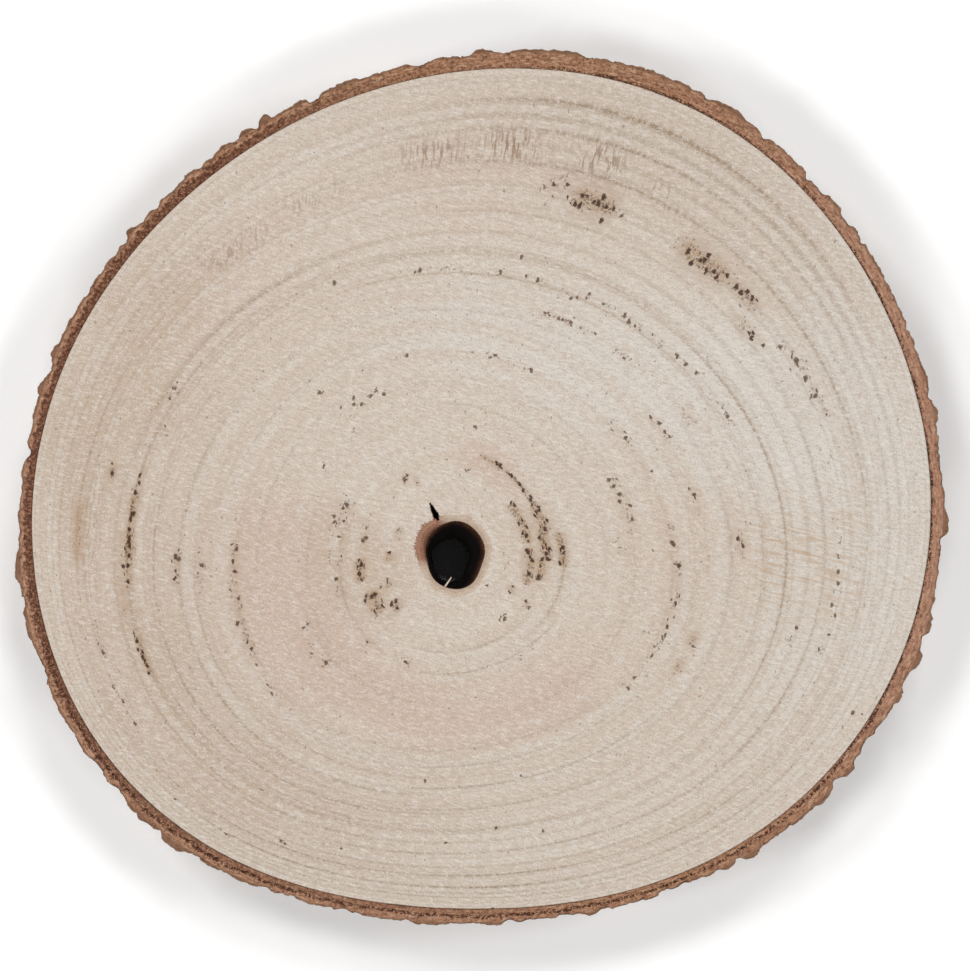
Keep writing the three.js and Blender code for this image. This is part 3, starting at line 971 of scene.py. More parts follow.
@dataclass(frozen=True)
class SawnWood:
    """Finish of the sawn wood: end grain left rough by the saw, with rings, pores, stains, the pith's brown
    lining and painted shade that darkens the hollow and the crack with depth.
    """

    base: Colour = srgb(198, 185, 171)
    chalk: Colour = srgb(209, 203, 195)
    blush: Colour = srgb(193, 172, 156)
    tan: Colour = srgb(190, 170, 153)
    straw: Colour = srgb(187, 168, 149)
    line: Colour = srgb(144, 122, 98)
    fresh: Colour = srgb(223, 218, 211)
    dull: Colour = srgb(162, 148, 136)
    pore: Colour = srgb(100, 75, 56)
    brown_pore: Colour = srgb(52, 22, 8)
    stain: Colour = srgb(152, 114, 74)
    streak: Colour = srgb(176, 148, 118)
    fleck: Colour = srgb(138, 110, 86)
    tissue: Colour = srgb(186, 164, 144)
    tissue_line: Colour = srgb(150, 124, 104)
    torn_tissue: Colour = srgb(162, 118, 94)
    torn_line: Colour = srgb(104, 64, 46)
    lining: Colour = srgb(112, 72, 50)
    # painted shade: the near black that the lining and the crack's walls turn to with depth
    lining_painted_shade: Colour = srgb(14, 7, 5)
    blotch: Grain = Grain(0.035)
    fibre: Grain = Grain(0.95, 2.0, 0.7, twist=0.5, stretch=(0.42, 1.3, 1.0), turn=SAW_ANGLE)
    grit: Grain = Grain(1.9, 1.0, 0.6)
    fluff: Grain = Grain(0.35, 3.0, 0.7)
    ring_break: Grain = Grain(0.8, 2.0, 0.6)
    cluster: Grain = Grain(0.3, 1.0, 0.6)
    ragged: Grain = Grain(1.1, 3.0, 0.65)
    saw_stroke: Grain = Grain(1.0, 2.0, stretch=(0.09, 1.0, 0.1), turn=SAW_ANGLE)
    ray: Grain = Grain(1.0, 2.0, 0.65, stretch=(0.95, 0.24, 0.1), turn=5.0)
    fine_bands: float = 95.0
    broad_bands: float = 26.0
    tissue_bands: float = 4.0
    pore_push: float = 1.1
    coarse_pores: float = 0.72
    fine_pores: float = 1.5
    roughness: float = 0.93
    relief: float = 0.16
    gloss: float = 0.2

    def material(self) -> bpy.types.Material:
        """Build the material.

        Returns:
            It, ready to assign.
        """
        finish = Finish("sawn_wood")
        place = finish.painted("ring_place", True)
        tints, marks, rings, pith = (finish.split(name) for name in ("tints", "marks", "rings", "pith"))
        in_mm = finish.in_mm()
        blotch, fibres, grit = (finish.noise(in_mm, grain) for grain in (self.blotch, self.fibre, self.grit))
        colour = finish.mix((tints[0] * (0.6 + blotch * 0.8)).rise(0.0, 1.1), self.base, self.chalk)
        colour = finish.mix((tints[1] * (0.5 + blotch)).rise(0.0, 1.2), colour, self.blush)
        colour = finish.mix((tints[2] * (0.4 + blotch * 1.2)).rise(0.0, 1.3), colour, self.straw)
        lines, bands = self.ring_lines(finish, place, rings)
        fluff = bands * 0.65 + (finish.noise(in_mm, self.fluff) - 0.5) * 2.4
        colour = finish.mix(fluff.rise(0.0, 0.7) * 0.38, colour, self.chalk)
        colour = finish.mix(fluff.rise(0.0, -0.7) * 0.4, colour, self.tan)
        colour = finish.mix(lines, colour, self.line)
        colour = finish.mix((fibres * 0.55 + grit * 0.45).rise(0.5, 0.66) * 0.5, colour, self.fresh)
        colour = finish.mix((fibres * 0.45 + grit * 0.55).rise(0.5, 0.34) * 0.52, colour, self.dull)
        colour = self.streaks(finish, in_mm, place, rings[2], marks[2], colour)
        pores = self.pores(finish, place, marks[0], marks[1])
        stain = marks[1] * grit.rise(0.3, 0.6)
        colour = finish.mix(stain * 0.8, colour, self.stain)
        pore_colour = finish.mix(marks[1].rise(0.05, 0.4), self.pore, self.brown_pore)
        colour = finish.mix(pores * 0.9, colour, pore_colour)
        colour = self.pith_colours(finish, fibres, grit, pith, colour)
        height = fibres * 0.5 + grit * 0.3 - pores * 1.2 + 0.6
        finish.surface(colour, self.roughness, height, self.relief, self.gloss)
        return finish.material

    def ring_lines(
        self, finish: Finish, place: Value, rings: tuple[Value, Value, Value]
    ) -> tuple[Value, Value]:
        """Ring lines broken by the grain, and the soft light and dark bands between them.

        Args:
            finish: the material.
            place: coordinates in which the rings are circles.
            rings: painted line darkness, ring share and streak strength.

        Returns:
            How much of the line colour shows, and the bands between about -0.5 and 0.5.
        """
        grain = finish.noise(place, self.ring_break)
        share = rings[1] + grain * 0.006
        fine = finish.bands(share, self.fine_bands, 1.0)
        broad = finish.bands(share, self.broad_bands, 0.0)
        thin = fine.rise(0.5, 0.68) * rings[1].rise(0.35, 0.8)
        lines = rings[0] * (grain.rise(0.34, 0.6) * 0.65 + 0.35) + thin * 0.2
        return (lines * 0.88).at_most(0.92), broad.rise(0.3, 0.7) - 0.5

    def pores(self, finish: Finish, place: Value, density: Value, brown: Value) -> Value:
        """Open pores: ragged dots in loose clusters, drawn out upright, joined where they are brown.

        Args:
            finish: the material.
            place: coordinates in which the rings are circles.
            density: painted share of the dots that show.
            brown: painted brownness.

        Returns:
            Where the pores are.
        """
        clusters = finish.noise(place, self.cluster)
        kept = density * (clusters + brown * 0.3).rise(0.42, 0.62)
        ragged = Value(finish, finish.noise(place, self.ragged).socket.node.outputs["Color"])
        push = {0: ragged, 1: (self.pore_push, self.pore_push, 0.0), 2: place}
        pushed = finish.add("ShaderNodeVectorMath", {"operation": "MULTIPLY_ADD"}, push)
        upright = finish.turned(pushed, (1.0, 0.75, 1.0))
        distance, chance = finish.dots(upright, self.coarse_pores)
        coarse = distance.rise(0.6, 0.25) * chance.below(kept * 0.85)
        distance, chance = finish.dots(upright, self.fine_pores)
        fine = distance.rise(0.55, 0.15) * chance.below(kept * 0.6 + 0.003)
        return (coarse + fine * 0.5).at_most(1.0)

    def streaks(
        self, finish: Finish, in_mm: Value, place: Value, streak: Value, fleck: Value, colour: Value
    ) -> Value:
        """Short brown strokes along the saw's way at the right, and radial flecks at the top.

        Args:
            finish: the material.
            in_mm: position in mm.
            place: coordinates in which the rings are circles.
            streak: painted strength of the strokes.
            fleck: painted strength of the flecks.
            colour: the wood's colour so far.

        Returns:
            The colour with both added.
        """
        drawn = finish.noise(in_mm, self.saw_stroke)
        colour = finish.mix(drawn.rise(0.48, 0.7) * streak * 0.65, colour, self.streak)
        colour = finish.shade(colour, 0.97 + drawn * 0.06)
        upright = finish.noise(place, self.ray)
        return finish.mix((upright.rise(0.5, 0.62) * fleck).at_most(0.9), colour, self.fleck)

    def pith_colours(
        self, finish: Finish, fibres: Value, grit: Value, pith: tuple[Value, Value, Value], colour: Value
    ) -> Value:
        """Brown tissue round the rim of the hollow, and inside it the brown lining with painted shade that
        darkens it with depth.

        Args:
            finish: the material.
            fibres, grit: noises of the wood.
            pith: painted distance from the rim in tissue widths, depth in mm and crescent strength.
            colour: the wood's colour.

        Returns:
            The colour with both added.
        """
        out = pith[0] + (grit - 0.5) * 0.5 + (fibres - 0.5) * 0.4
        stripes = finish.bands(out, self.tissue_bands, 1.0).rise(0.4, 0.62)
        torn = pith[2].rise(0.15, 0.6)
        plain = finish.mix(stripes * 0.7, self.tissue, self.tissue_line)
        edge_line = (stripes * 0.6 + out.rise(0.7, 0.95) * 0.5).at_most(1.0)
        striped = finish.mix(edge_line, self.torn_tissue, self.torn_line)
        tissue = finish.shade(finish.mix(torn, plain, striped), 0.8 + fibres * 0.4)
        colour = finish.mix(out.rise(1.12, 0.88) * (0.75 + torn * 0.2), colour, tissue)
        # painted shade: brown lining going to near black with depth down the hollow and the crack
        lining = finish.mix((pith[1] + grit * 3.0).rise(1.0, 10.0), self.lining, self.lining_painted_shade)
        # inside the hollow and the crack the colour turns to the lining; in the crack it is all painted shade
        return finish.mix((pith[1] + grit * 0.8 - 0.4).rise(0.05, 0.6), colour, lining)


@dataclass(frozen=True)
class RimSliver:
    """Thin pale sliver of wood that stands off the rim and over the hollow."""

    growth: Growth
    root: tuple[float, float] = (-4.2, -11.8)
    tip: tuple[float, float] = (-1.1, -7.2)
    width: float = 0.9
    height: float = 7.0
    below_top: float = 0.6
    steps: int = 14
    sides: int = 10

    def build(self, shift: np.ndarray) -> bpy.types.Object:
        """Make the sliver: an oval section carried from root to tip, thinning to a third and bowing up.

        Args:
            shift: move to the frame.

        Returns:
            The piece.
        """
        along = np.linspace(0, 1, self.steps)[:, None]
        around = np.radians(np.arange(self.sides) * 360 / self.sides)[None, :]
        root, tip = np.array(self.root), np.array(self.tip)
        way = (tip - root) / np.linalg.norm(tip - root)
        half_width = self.width / 2 * (1 - 0.67 * along ** 1.5)
        half_height = self.height / 2 * (1 - 0.55 * along) * np.clip(1.02 - along ** 6, 0, 1)
        middle = self.growth.thickness - self.below_top - half_height - 0.4 * along
        sideways = half_width * np.cos(around)
        x = self.growth.pith[0] + root[0] + (tip - root)[0] * along - way[1] * sideways
        y = self.growth.pith[1] + root[1] + (tip - root)[1] * along + way[0] * sideways
        z = middle + half_height * np.sin(around)
        points = np.stack([x, y, z], axis=-1) + shift
        row, side = np.meshgrid(np.arange(self.steps - 1), np.arange(self.sides), indexing="ij")
        here, after = row * self.sides, (side + 1) % self.sides
        beyond = here + self.sides
        quads = np.stack([here + side, beyond + side, beyond + after, here + after], axis=-1)
        faces = quads[..., ::-1].reshape(-1, 4).tolist()
        faces.append(list(range(self.sides))[::-1])
        faces.append(list(range((self.steps - 1) * self.sides, self.steps * self.sides)))
        return mesh_piece("rim_sliver", points, faces, SMOOTH_ALL_ROUND)


@dataclass(frozen=True)
class PaleSplinter:
    """Finish of the sliver: fresh pale wood with fibres along it."""

    pale: Colour = srgb(236, 216, 198)
    fibre: Colour = srgb(202, 170, 142)
    grain: Grain = Grain(1.2, 3.0, stretch=(0.5, 3.0, 3.0), turn=59.0)
    roughness: float = 0.8
    relief: float = 0.1
    gloss: float = 0.3

    def material(self) -> bpy.types.Material:
        """Build the material.

        Returns:
            It, ready to assign.
        """
        finish = Finish("pale_splinter")
        fibres = finish.noise(finish.in_mm(), self.grain)
        colour = finish.mix(fibres.rise(0.45, 0.7) * 0.5, self.pale, self.fibre)
        finish.surface(colour, self.roughness, fibres, self.relief, self.gloss)
        return finish.material


@dataclass(frozen=True)
class BarkFeature:
    """A notch, plate or fissure that runs down the bark and sways as it goes."""

    angle: float
    half_width: float
    first: float
    last: float
    steepness: int
    sway: float
    length: float

    def relief(self, degrees: np.ndarray, drop: np.ndarray) -> np.ndarray:
        """Hump or groove about the swaying middle line.

        Across it x goes from -1 to 1 and the height goes from the first to the last; a factor of
        (1 - |x| to the steepness) squared brings it down to nothing at both edges.

        Args:
            degrees: angles round the slice.
            drop: distances below the upper face, in mm.

        Returns:
            The relief in mm.
        """
        middle = self.angle + self.sway * np.sin(2 * np.pi * drop / self.length)
        across = turn_between(degrees, middle) / self.half_width
        height = self.first + (self.last - self.first) * (across + 1) / 2
        return height * np.clip(1 - np.abs(across) ** self.steepness, 0, None) ** 2


@dataclass(frozen=True)
class FlakeLayer:
    """A layer of flat flakes of bark, each with a height and a tilt of its own and steep edges."""

    count: int
    height: float
    seed: Seed
    jitter: float = 0.85
    wander: float = 0.6
    tremble: float = 0.25
    shortest: float = 9.0
    longest: float = 31.0
    edge_drop: float = 0.3
    mean: float = 0.38

    def relief(self, degrees: np.ndarray, drop: np.ndarray) -> np.ndarray:
        """Relief of the layer.

        The circle is split at jittered angles that wander down the bark, and each strip is broken at its
        own even lengths, shifted by its own amount. Across a flake x runs from -1 to 1 between its edges,
        and the height is a random height plus a tilt times x, times 1 - 0.3 |x| to the 20th, less the
        layer's mean.

        Args:
            degrees: angles round the slice.
            drop: distances below the upper face, in mm.

        Returns:
            The relief in mm.
        """
        numbers = np.arange(self.count)
        edges = (numbers + self.jitter * lattice_random(numbers[:, None], self.seed)) * 360 / self.count
        slow = self.wander * np.sin(drop / 7.0) * np.sin(degrees / 9.0)
        quick = self.tremble * np.sin(drop / 2.3) * np.cos(degrees / 3.0)
        turned = (degrees + (slow + quick) - edges[0]) % 360 + edges[0]
        strip = np.searchsorted(edges, turned, side="right") - 1
        low = edges[strip]
        high = np.where(strip + 1 < self.count, edges[(strip + 1) % self.count], edges[0] + 360)
        across = 2 * (turned - low) / (high - low) - 1
        own = [lattice_random(strip[..., None], self.seed + number) for number in (1, 2)]
        length = self.shortest + (self.longest - self.shortest) * own[0]
        piece = np.floor((drop + length * own[1]) / length)
        cell = np.stack([strip, piece], axis=-1)
        tall = lattice_random(cell, self.seed + 3) ** 1.5
        tilt = lattice_random(cell, self.seed + 4) - 0.5
        edge = 1 - self.edge_drop * np.abs(across) ** 20
        return self.height * ((tall + tilt * across) * edge - self.mean)


@dataclass
class BarkRing:
    """The bark: its sawn section and its rough outside, with the plates and fissures that the solid has."""

    growth: Growth
    columns: int = 1440
    flank_rows: int = 42
    upper_rows: int = 12
    lower_rows: int = 6
    edge_wear: float = 0.4
    overhang: float = 1.2
    overhang_depth: float = 5.0
    section_apart: float = 50.0
    flakes: tuple[FlakeLayer, ...] = (
        FlakeLayer(96, 0.75, Seed.BROAD_FLAKES),
        FlakeLayer(230, 0.4, Seed.NARROW_FLAKES),
        FlakeLayer(520, 0.3, Seed.SPLINTERS),
    )
    outside_lumps: tuple[Lumps, ...] = (
        Lumps(0.18, (1.3, 1.3, 2.2), Seed.BARK_GRIT), Lumps(0.2, (5, 5, 9), Seed.BARK_SWELL),
    )
    section_lumps: tuple[Lumps, ...] = (
        Lumps(0.5, 1.5, Seed.SECTION_GRIT), Lumps(0.5, 4.0, Seed.SECTION_SWELL),
    )
    section_depth: float = 0.12
    inner_step: float = 0.25
    section_relief: float = 0.22
    gap_lumps: Lumps = Lumps(0.25, 1.7, Seed.BARK_GAP)
    narrow_gap: float = 0.04
    shrunk_gap: float = 0.06
    seed: int = 283
    notches: Waves = (
        (4.2, 0.8, 3.6), (43.6, 0.8, 0.8), (51.2, 0.8, 0.8), (60, 1.2, 1.1), (75, 0.6, 0.9), (87, 0.6, 2.2),
        (92.2, 1.4, 1.4), (98.9, 1, 1.3), (131.4, 0.7, 0.9), (139.3, 1.1, 1), (141.8, 0.7, 1.6),
        (145.5, 1.5, 0.9), (175.5, 0.7, 0.8), (203.5, 1, 0.8), (216, 1.1, 2.3), (241.5, 0.9, 1.3),
        (245.2, 0.7, 0.9), (251.7, 0.7, 1.2), (280.6, 0.6, 1.8), (282.6, 0.7, 0.9), (297, 0.6, 3),
        (320.1, 1.2, 0.9), (327, 0.7, 3.6), (335.2, 0.6, 1), (349, 0.5, 4),
    )
    plates: tuple[tuple[float, float, float, float], ...] = (
        (8, 10.4, 0.8, 0.8), (11.4, 17.3, 1, 0.5), (18.3, 20.6, 0.8, 0.4), (33, 35.6, 0.5, 1),
        (37.3, 40.6, 1, 0.6), (54.8, 58.6, 0.9, 0.5), (62, 69.8, 0.3, 1.1), (76.4, 81.6, 0.5, 1.1),
        (88.6, 91.2, 0.7, 0.3), (106, 113, 0.8, 0.8), (113, 119.6, 0.3, 0.6), (119.7, 121.9, 2.2, 1.2),
        (122.3, 125.1, 0.8, 1.6), (126, 128.2, 0.9, 0.6), (143.2, 144.7, 0.8, 0.8), (154, 160, 0.3, 0.4),
        (161.2, 164, 0.9, 0.9), (166.2, 168.2, 1.1, 1.1), (169, 172.2, 0.8, 0.3), (188.4, 191.8, 1, 1.2),
        (194.4, 198.8, 0.9, 0.9), (223.2, 226.4, 0.9, 0.7), (226.6, 230.8, 1.2, 1.6),
        (232.4, 239.8, 0.7, 0.4), (258.4, 266, 0.9, 0.5), (269, 277, 0.4, 0.3), (283.6, 285.4, 0.8, 0.5),
        (301.8, 304.2, 1, 1.3), (304.8, 307.6, 1.6, 1.2), (316.2, 319.2, 1.3, 0.5), (321, 323.4, 1, 1.6),
        (332.2, 334.4, 1.1, 1.1), (336.3, 339.6, 1.1, 1.9), (341.2, 344.4, 1.8, 1),
        (353.4, 357.4, 0.7, 1), (358.6, 360.9, 0.7, 0.6),
    )
    notch_steepness: int = 2
    plate_steepness: int = 6
    fissures: int = 24
    fissure_depth: tuple[float, float] = (0.4, 1.0)
    fissure_half_width: tuple[float, float] = (1.3, 1.9)
    sway: tuple[float, float] = (0.4, 1.4)
    sway_length: tuple[float, float] = (45.0, 90.0)
    rosy: Waves = ((15, 60, 1.0), (330, 40, 0.5), (190, 70, 0.8), (260, 40, 0.5))
    dark_line: Waves = (
        (10, 70, 1.2), (65, 22, 1.0), (85, 30, 0.4), (228, 50, 1.1), (285, 45, 1.1), (325, 40, 0.9),
    )
    line_place: Waves = ((235, 70, 0.42), (295, 45, 0.35))
    dark_inside: Waves = ((168, 75, 1.3), (240, 60, 0.5), (130, 40, 0.4))
    shrunk: Waves = ((8, 34, 1.0), (62, 30, 0.55), (335, 25, 0.4), (205, 30, 0.3))
    degrees: np.ndarray = field(init=False)

    def __post_init__(self) -> None:
        """Spread the columns evenly round the slice."""
        self.degrees = np.arange(self.columns) * 360.0 / self.columns

    def features(self) -> list[BarkFeature]:
        """Notches, plates and fissures, drawn in the same order and from the same numbers as the solid's.

        Returns:
            The features.
        """
        between = Draws(self.seed).between
        notch, plate = self.notch_steepness, self.plate_steepness
        shapes = [(angle, half, -depth, -depth, notch) for angle, depth, half in self.notches]
        shapes += [((a + b) / 2, (b - a) / 2, first, last, plate) for a, b, first, last in self.plates]
        for number in range(self.fissures):
            angle = (number + between((0.0, 1.0))) * 360 / self.fissures
            depth = -between(self.fissure_depth)
            shapes.append((angle, between(self.fissure_half_width), depth, depth, notch))
        return [BarkFeature(*shape, between(self.sway), between(self.sway_length)) for shape in shapes]

    def outside(self, z: np.ndarray) -> tuple[np.ndarray, np.ndarray]:
        """Relief of the bark's outside at heights z.

        Args:
            z: heights by column and row, in mm.

        Returns:
            The relief in mm, and how far below the plates the surface lies, 0 to 1.
        """
        degrees = np.broadcast_to(self.degrees[:, None], z.shape)
        drop = self.growth.thickness - z
        broad = sum(feature.relief(degrees, drop) for feature in self.features())
        plates = sum(layer.relief(degrees, drop) for layer in self.flakes)
        points = polar(self.growth.bark_edge(degrees), degrees, z)
        grit = sum(lumps.at(points) for lumps in self.outside_lumps)
        # how far below the plates, which the bark's material darkens as painted shade
        sunk = smooth_step(plates + 0.5 * broad, 0.45, -0.45)
        hang = self.overhang * smooth_step(drop, 0.0, self.overhang_depth)
        return broad + plates + grit - hang, sunk

    def gap(self) -> np.ndarray:
        """Gap between wood and bark: hair-thin, and a little wider where the bark has shrunk.

        Returns:
            The gap at each column, in mm.
        """
        edge = self.growth.wood_edge(self.degrees)
        ragged = self.gap_lumps.at(polar(edge, self.degrees, 0 * edge))
        return self.narrow_gap + self.humps(self.shrunk) * np.clip(self.shrunk_gap + ragged, 0.0, None)

    def build(self, shift: np.ndarray) -> bpy.types.Object:
        """Join the outside, the two sawn sections and the inside into one closed band.

        Args:
            shift: move to the frame.

        Returns:
            The piece.
        """
        top = self.growth.thickness
        flank = np.linspace(self.edge_wear, top - self.edge_wear, self.flank_rows)
        levels = np.concatenate([[0.0, self.edge_wear / 2], flank, [top - self.edge_wear / 2, top]])
        z = np.broadcast_to(levels, (self.columns, len(levels)))
        relief, sunk = self.outside(z)
        wear = np.interp(levels, [0, self.edge_wear, top - self.edge_wear, top], [1, 0, 0, 1]) ** 2
        rim = self.growth.bark_edge(self.degrees)[:, None]
        inner = self.growth.wood_edge(self.degrees)[:, None] + self.gap()[:, None]
        outer = rim + relief - self.edge_wear * wear
        upper = outer[:, -1:] + (inner - outer[:, -1:]) * np.linspace(0, 1, self.upper_rows + 1)[None, 1:]
        lower = inner + (outer[:, :1] - inner) * np.linspace(0, 1, self.lower_rows + 1)[None, :-1]
        radius = np.concatenate([outer, upper, lower], axis=1)
        depth = radius - inner
        layer = np.clip(depth / (rim - inner), 0, 1.3)
        sections = [self.section(upper, inner, rim, Side.UPPER), self.section(lower, inner, rim, Side.LOWER)]
        angle = self.degrees[:, None]
        height = np.concatenate([z, *sections], axis=1)
        piece = closed_band("bark_ring", polar(radius, angle, height), shift)
        facing = np.concatenate([np.ones(z.shape), 0 * upper, 0 * lower], axis=1)
        facing[:, [0, len(levels) - 1]] = 0.3
        # how far below the plates, for the painted shade in the sunk places
        deep = np.concatenate([sunk, 0 * upper, 0 * lower], axis=1)
        paint(piece, "bark", np.stack([layer, facing, deep], axis=-1))
        paint(piece, "laid", polar(self.growth.wood_outline[0] + 0 * depth, angle, depth))
        casts = [self.cast(zones) + 0 * depth for zones in (self.rosy, self.dark_line, self.line_place)]
        paint(piece, "casts", np.stack(casts, axis=-1))
        paint(piece, "dark_inside", self.cast(self.dark_inside) + 0 * depth)
        return piece

    def cast(self, zones: Waves) -> np.ndarray:
        """Strength of a cast of colour along the bark: its zones' humps, kept between 0 and 1."""
        return np.clip(self.humps(zones), 0, 1)[:, None]

    def humps(self, zones: Waves) -> np.ndarray:
        """Sum of smooth humps round the bark, each given as (angle, half angle, height)."""
        return sum(height * hump(turn_between(self.degrees, angle) / half) for angle, half, height in zones)

    def section(self, radius: np.ndarray, inner: np.ndarray, rim: np.ndarray, side: Side) -> np.ndarray:
        """Height of a sawn section: a little under the wood, rough, with a step down at the inner layer.

        Args:
            radius: distances from the middle, by column and row.
            inner: distance of the bark's inside.
            rim: distance of its outside.
            side: which section.

        Returns:
            Heights in mm.
        """
        apart = 0 * radius + side.value * self.section_apart
        points = polar(radius, self.degrees[:, None], apart)
        inward = smooth_step((radius - inner) / (rim - inner), 0.55, 0.35)
        rough = sum(lumps.at(points) for lumps in self.section_lumps)
        edges = smooth_step((radius - inner) / (rim - inner), 0.0, 0.06)
        sunk = self.section_depth + edges * (self.inner_step * inward + self.section_relief * (1 + rough))
        return self.growth.thickness - sunk if side is Side.UPPER else sunk


@dataclass(frozen=True)
class RoughBark:
    """Finish of the bark: dark speckled inner layer, fibrous tan outer layer and weathered outside."""

    brown: Colour = srgb(128, 92, 70)
    rust: Colour = srgb(156, 114, 86)
    rose: Colour = srgb(164, 124, 104)
    pale: Colour = srgb(194, 158, 132)
    inner_deep: Colour = srgb(80, 47, 34)
    inner_warm: Colour = srgb(124, 84, 62)
    dark: Colour = srgb(52, 28, 18)
    skin: Colour = srgb(108, 80, 62)
    weathered: Colour = srgb(130, 104, 86)
    ridge: Colour = srgb(162, 134, 110)
    # painted shade for the fissures and the sunk places between the plates
    fissure: Colour = srgb(58, 38, 28)
    grain: Grain = Grain(0.9, 2.0, 0.7, deep=True)
    speck: Grain = Grain(2.4, 1.0, 0.6, deep=True)
    patch: Grain = Grain(0.16, 2.0, 0.6, deep=True)
    thread: Grain = Grain(1.0, 2.0, 0.65, deep=True, stretch=(0.35, 0.35, 1.5))
    upright: Grain = Grain(0.7, 3.0, 0.6, deep=True, stretch=(1.0, 1.0, 0.22))
    roughness: float = 0.95
    relief: float = 0.3
    gloss: float = 0.12

    def material(self) -> bpy.types.Material:
        """Build the material.

        Returns:
            It, ready to assign.
        """
        finish = Finish("rough_bark")
        in_mm = finish.in_mm()
        layer, facing, sunk = finish.split("bark")
        grain, speck, patch = (finish.noise(in_mm, grain) for grain in (self.grain, self.speck, self.patch))
        threads = finish.noise(finish.painted("laid", True), self.thread)
        section = self.section(finish, layer, grain, speck, patch, threads)
        outside = self.outside(finish, in_mm, sunk, grain, patch)
        colour = finish.mix(facing.rise(0.1, 0.9), section, outside)
        height = grain * 0.5 + speck * 0.3 + threads * 0.2
        finish.surface(colour, self.roughness, height, self.relief, self.gloss)
        return finish.material

    def section(
        self, finish: Finish, layer: Value, grain: Value, speck: Value, patch: Value, threads: Value
    ) -> Value:
        """Colour of the sawn section: the layers from the wood out, with ragged borders between them.

        Args:
            finish: the material.
            layer: painted share of the way from the wood to the outside.
            grain, speck, patch: noises from fine to broad.
            threads: noise drawn out along the bark.

        Returns:
            The colour.
        """
        rosy, dark_line, line_place = finish.split("casts")
        inside = finish.painted("dark_inside")
        colour = finish.mix(grain.rise(0.38, 0.62), self.brown, self.rust)
        colour = finish.mix(rosy * 0.6, colour, self.rose)
        colour = finish.mix(threads.rise(0.52, 0.66) * 0.55, colour, self.pale)
        colour = finish.mix(threads.rise(0.44, 0.32) * 0.6, colour, self.inner_deep)
        deep = finish.mix(grain.rise(0.42, 0.66), self.inner_deep, self.inner_warm)
        border = layer + (grain - 0.5) * 0.8 + (patch - 0.5) * 0.5
        colour = finish.mix(inside * border.rise(0.74, 0.44) * 0.9, colour, deep)
        colour = finish.mix((grain * 0.5 + speck * 0.5).rise(0.44, 0.34) * 0.75, colour, self.dark)
        colour = finish.mix((grain * 0.3 + speck * 0.7).rise(0.56, 0.68) * 0.5, colour, self.pale)
        off = layer + (patch - 0.5) * 0.5 - line_place - 0.06
        line = (off * off).rise(0.02, 0.004) * (grain * 0.55 + speck * 0.45).rise(0.58, 0.44)
        colour = finish.mix(line * dark_line * 0.95, colour, self.dark)
        return finish.mix((layer + (grain - 0.5) * 0.3).rise(0.84, 1.0) * 0.65, colour, self.skin)

    def outside(self, finish: Finish, in_mm: Value, sunk: Value, grain: Value, patch: Value) -> Value:
        """Colour of the outside: weathered plates, paler ridges, painted shade in the fissures and sunk
        places between the plates, and flaked tan spots.

        Args:
            finish: the material.
            in_mm: position in mm.
            sunk: painted depth below the plates, which sets the painted shade.
            grain, patch: noises, fine and broad.

        Returns:
            The colour.
        """
        upright = finish.noise(in_mm, self.upright)
        colour = finish.mix(upright.rise(0.4, 0.62), self.weathered, self.ridge)
        colour = finish.mix(patch.rise(0.5, 0.64) * 0.7, colour, self.rust)
        # painted shade: darker where the surface lies below the plates, in the fissures and between the
        # flakes
        colour = finish.mix((sunk * 0.75 + upright * 0.6).rise(0.6, 1.2) * 0.85, colour, self.fissure)
        return finish.shade(colour, 0.7 + grain * 0.6)


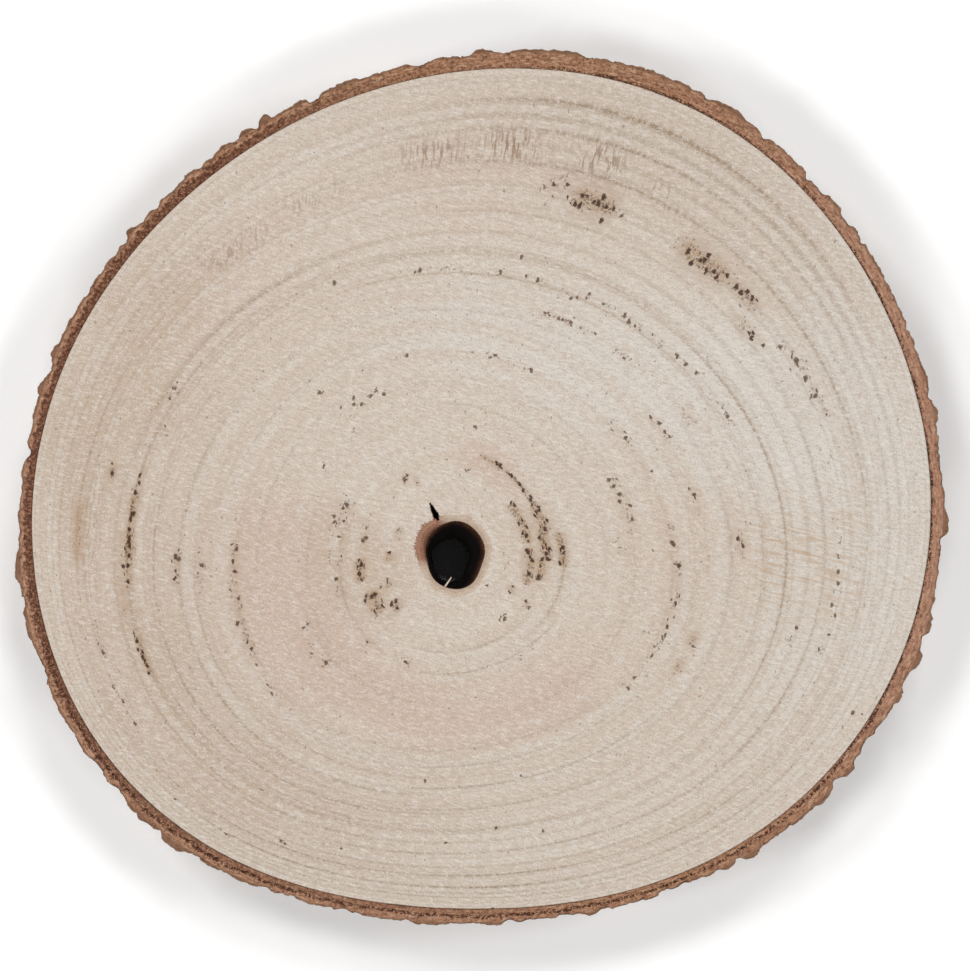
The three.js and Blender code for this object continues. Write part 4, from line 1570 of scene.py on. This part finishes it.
@dataclass(frozen=True)
class Studio:
    """Pale floor, soft lights and the camera straight above."""

    photo_width: float = 970.0
    photo_height: float = 971.0
    wood_middle: tuple[float, float] = (481.3, 488.7)
    wood_width: float = 899.0
    lens: float = 120.0
    sensor: float = 36.0
    floor_half: float = 2.5
    floor_colour: Colour = srgb(252, 252, 252)
    lights: int = 6
    first_light: float = 15.0
    light_reach: float = 1.08
    light_height: float = 1.6
    light_size: float = 0.42
    light_power: float = 7.9
    brighter_side: float = 135.0
    brighter_by: float = 0.2
    sky: float = 0.07

    def build(self) -> None:
        """Add the floor, the lights and the camera."""
        self.add_floor()
        self.add_lights()
        self.add_camera()

    def add_floor(self) -> None:
        """Lay a plain pale floor under the slice."""
        half = self.floor_half
        corners = [(-half, -half, 0), (half, -half, 0), (half, half, 0), (-half, half, 0)]
        mesh = bpy.data.meshes.new("floor")
        mesh.from_pydata(corners, [], [(0, 1, 2, 3)])
        floor = bpy.data.objects.new("floor", mesh)
        bpy.context.scene.collection.objects.link(floor)
        finish = Finish("pale_floor")
        plain = {"Base Color": self.floor_colour, "Roughness": 0.9}
        shader = finish.add("ShaderNodeBsdfPrincipled", {}, plain)
        finish.add_output(shader)
        mesh.materials.append(finish.material)

    def add_lights(self) -> None:
        """Hang a ring of soft lights over the slice, just outside what the hollow sees, and a faint sky."""
        for number in range(self.lights):
            azimuth = self.first_light + number * 360 / self.lights
            turn = math.radians(azimuth)
            x, y = self.light_reach * math.cos(turn), self.light_reach * math.sin(turn)
            place = Vector((x, y, self.light_height))
            uneven = 1 + self.brighter_by * math.cos(turn - math.radians(self.brighter_side))
            self.add_light(f"soft_light_{azimuth:.0f}", place, self.light_size, self.light_power * uneven)
        world = bpy.data.worlds.new("faint_sky")
        world.use_nodes = True
        background = world.node_tree.nodes["Background"]
        background.inputs["Color"].default_value = (1, 1, 1, 1)
        background.inputs["Strength"].default_value = self.sky
        bpy.context.scene.world = world

    def add_light(self, name: str, place: Vector, size: float, power: float) -> None:
        """Add a square soft light that faces the slice.

        Args:
            name: the light's name.
            place: where it hangs, in metres.
            size: its side in metres.
            power: its power in watts.
        """
        light = bpy.data.lights.new(name, "AREA")
        light.shape = "SQUARE"
        light.size = size
        light.energy = power
        lamp = bpy.data.objects.new(name, light)
        lamp.location = place
        lamp.rotation_euler = (-place).to_track_quat("-Z", "Y").to_euler()
        bpy.context.scene.collection.objects.link(lamp)

    def add_camera(self) -> None:
        """Set the camera straight above, so that the slice fills the frame as it does the photograph's."""
        low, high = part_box("wood")
        per_pixel = (high[0] - low[0]) / self.wood_width
        lens = bpy.data.cameras.new("camera")
        lens.lens = self.lens
        lens.sensor_width = self.sensor
        lens.sensor_fit = "HORIZONTAL"
        lens.clip_end = 20
        camera = bpy.data.objects.new("camera", lens)
        distance = self.photo_width * per_pixel * self.lens / self.sensor
        right = (low[0] + high[0]) / 2 + (self.photo_width / 2 - self.wood_middle[0]) * per_pixel
        up = (low[1] + high[1]) / 2 + (self.wood_middle[1] - self.photo_height / 2) * per_pixel
        camera.location = Vector((right, up, high[2] + distance))
        bpy.context.scene.collection.objects.link(camera)
        bpy.context.scene.camera = camera
        bpy.context.scene.view_settings.view_transform = "Standard"


def dress(piece: bpy.types.Object, material: bpy.types.Material, node: str) -> None:
    """Give a piece its material and tie it to the frame.

    Args:
        piece: the object.
        material: its finish.
        node: the solid that it stands for, which is hidden.
    """
    piece.data.materials.append(material)
    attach(piece, "root")
    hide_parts(node)
    LOG.info("%s: %d faces, stands for %s", piece.name, len(piece.data.polygons), node)


def main() -> None:
    """Build the slice and its studio, in order."""
    logging.basicConfig(level=logging.INFO, format="%(message)s")
    Studio().build()
    growth = Growth()
    shift = growth.place()
    wood = WoodDisc(growth, Hollow(growth))
    dress(wood.build(shift), SawnWood().material(), "wood")
    dress(RimSliver(growth).build(shift), PaleSplinter().material(), "wood")
    dress(BarkRing(growth).build(shift), RoughBark().material(), "bark")


if __name__ == "__main__":
    main()
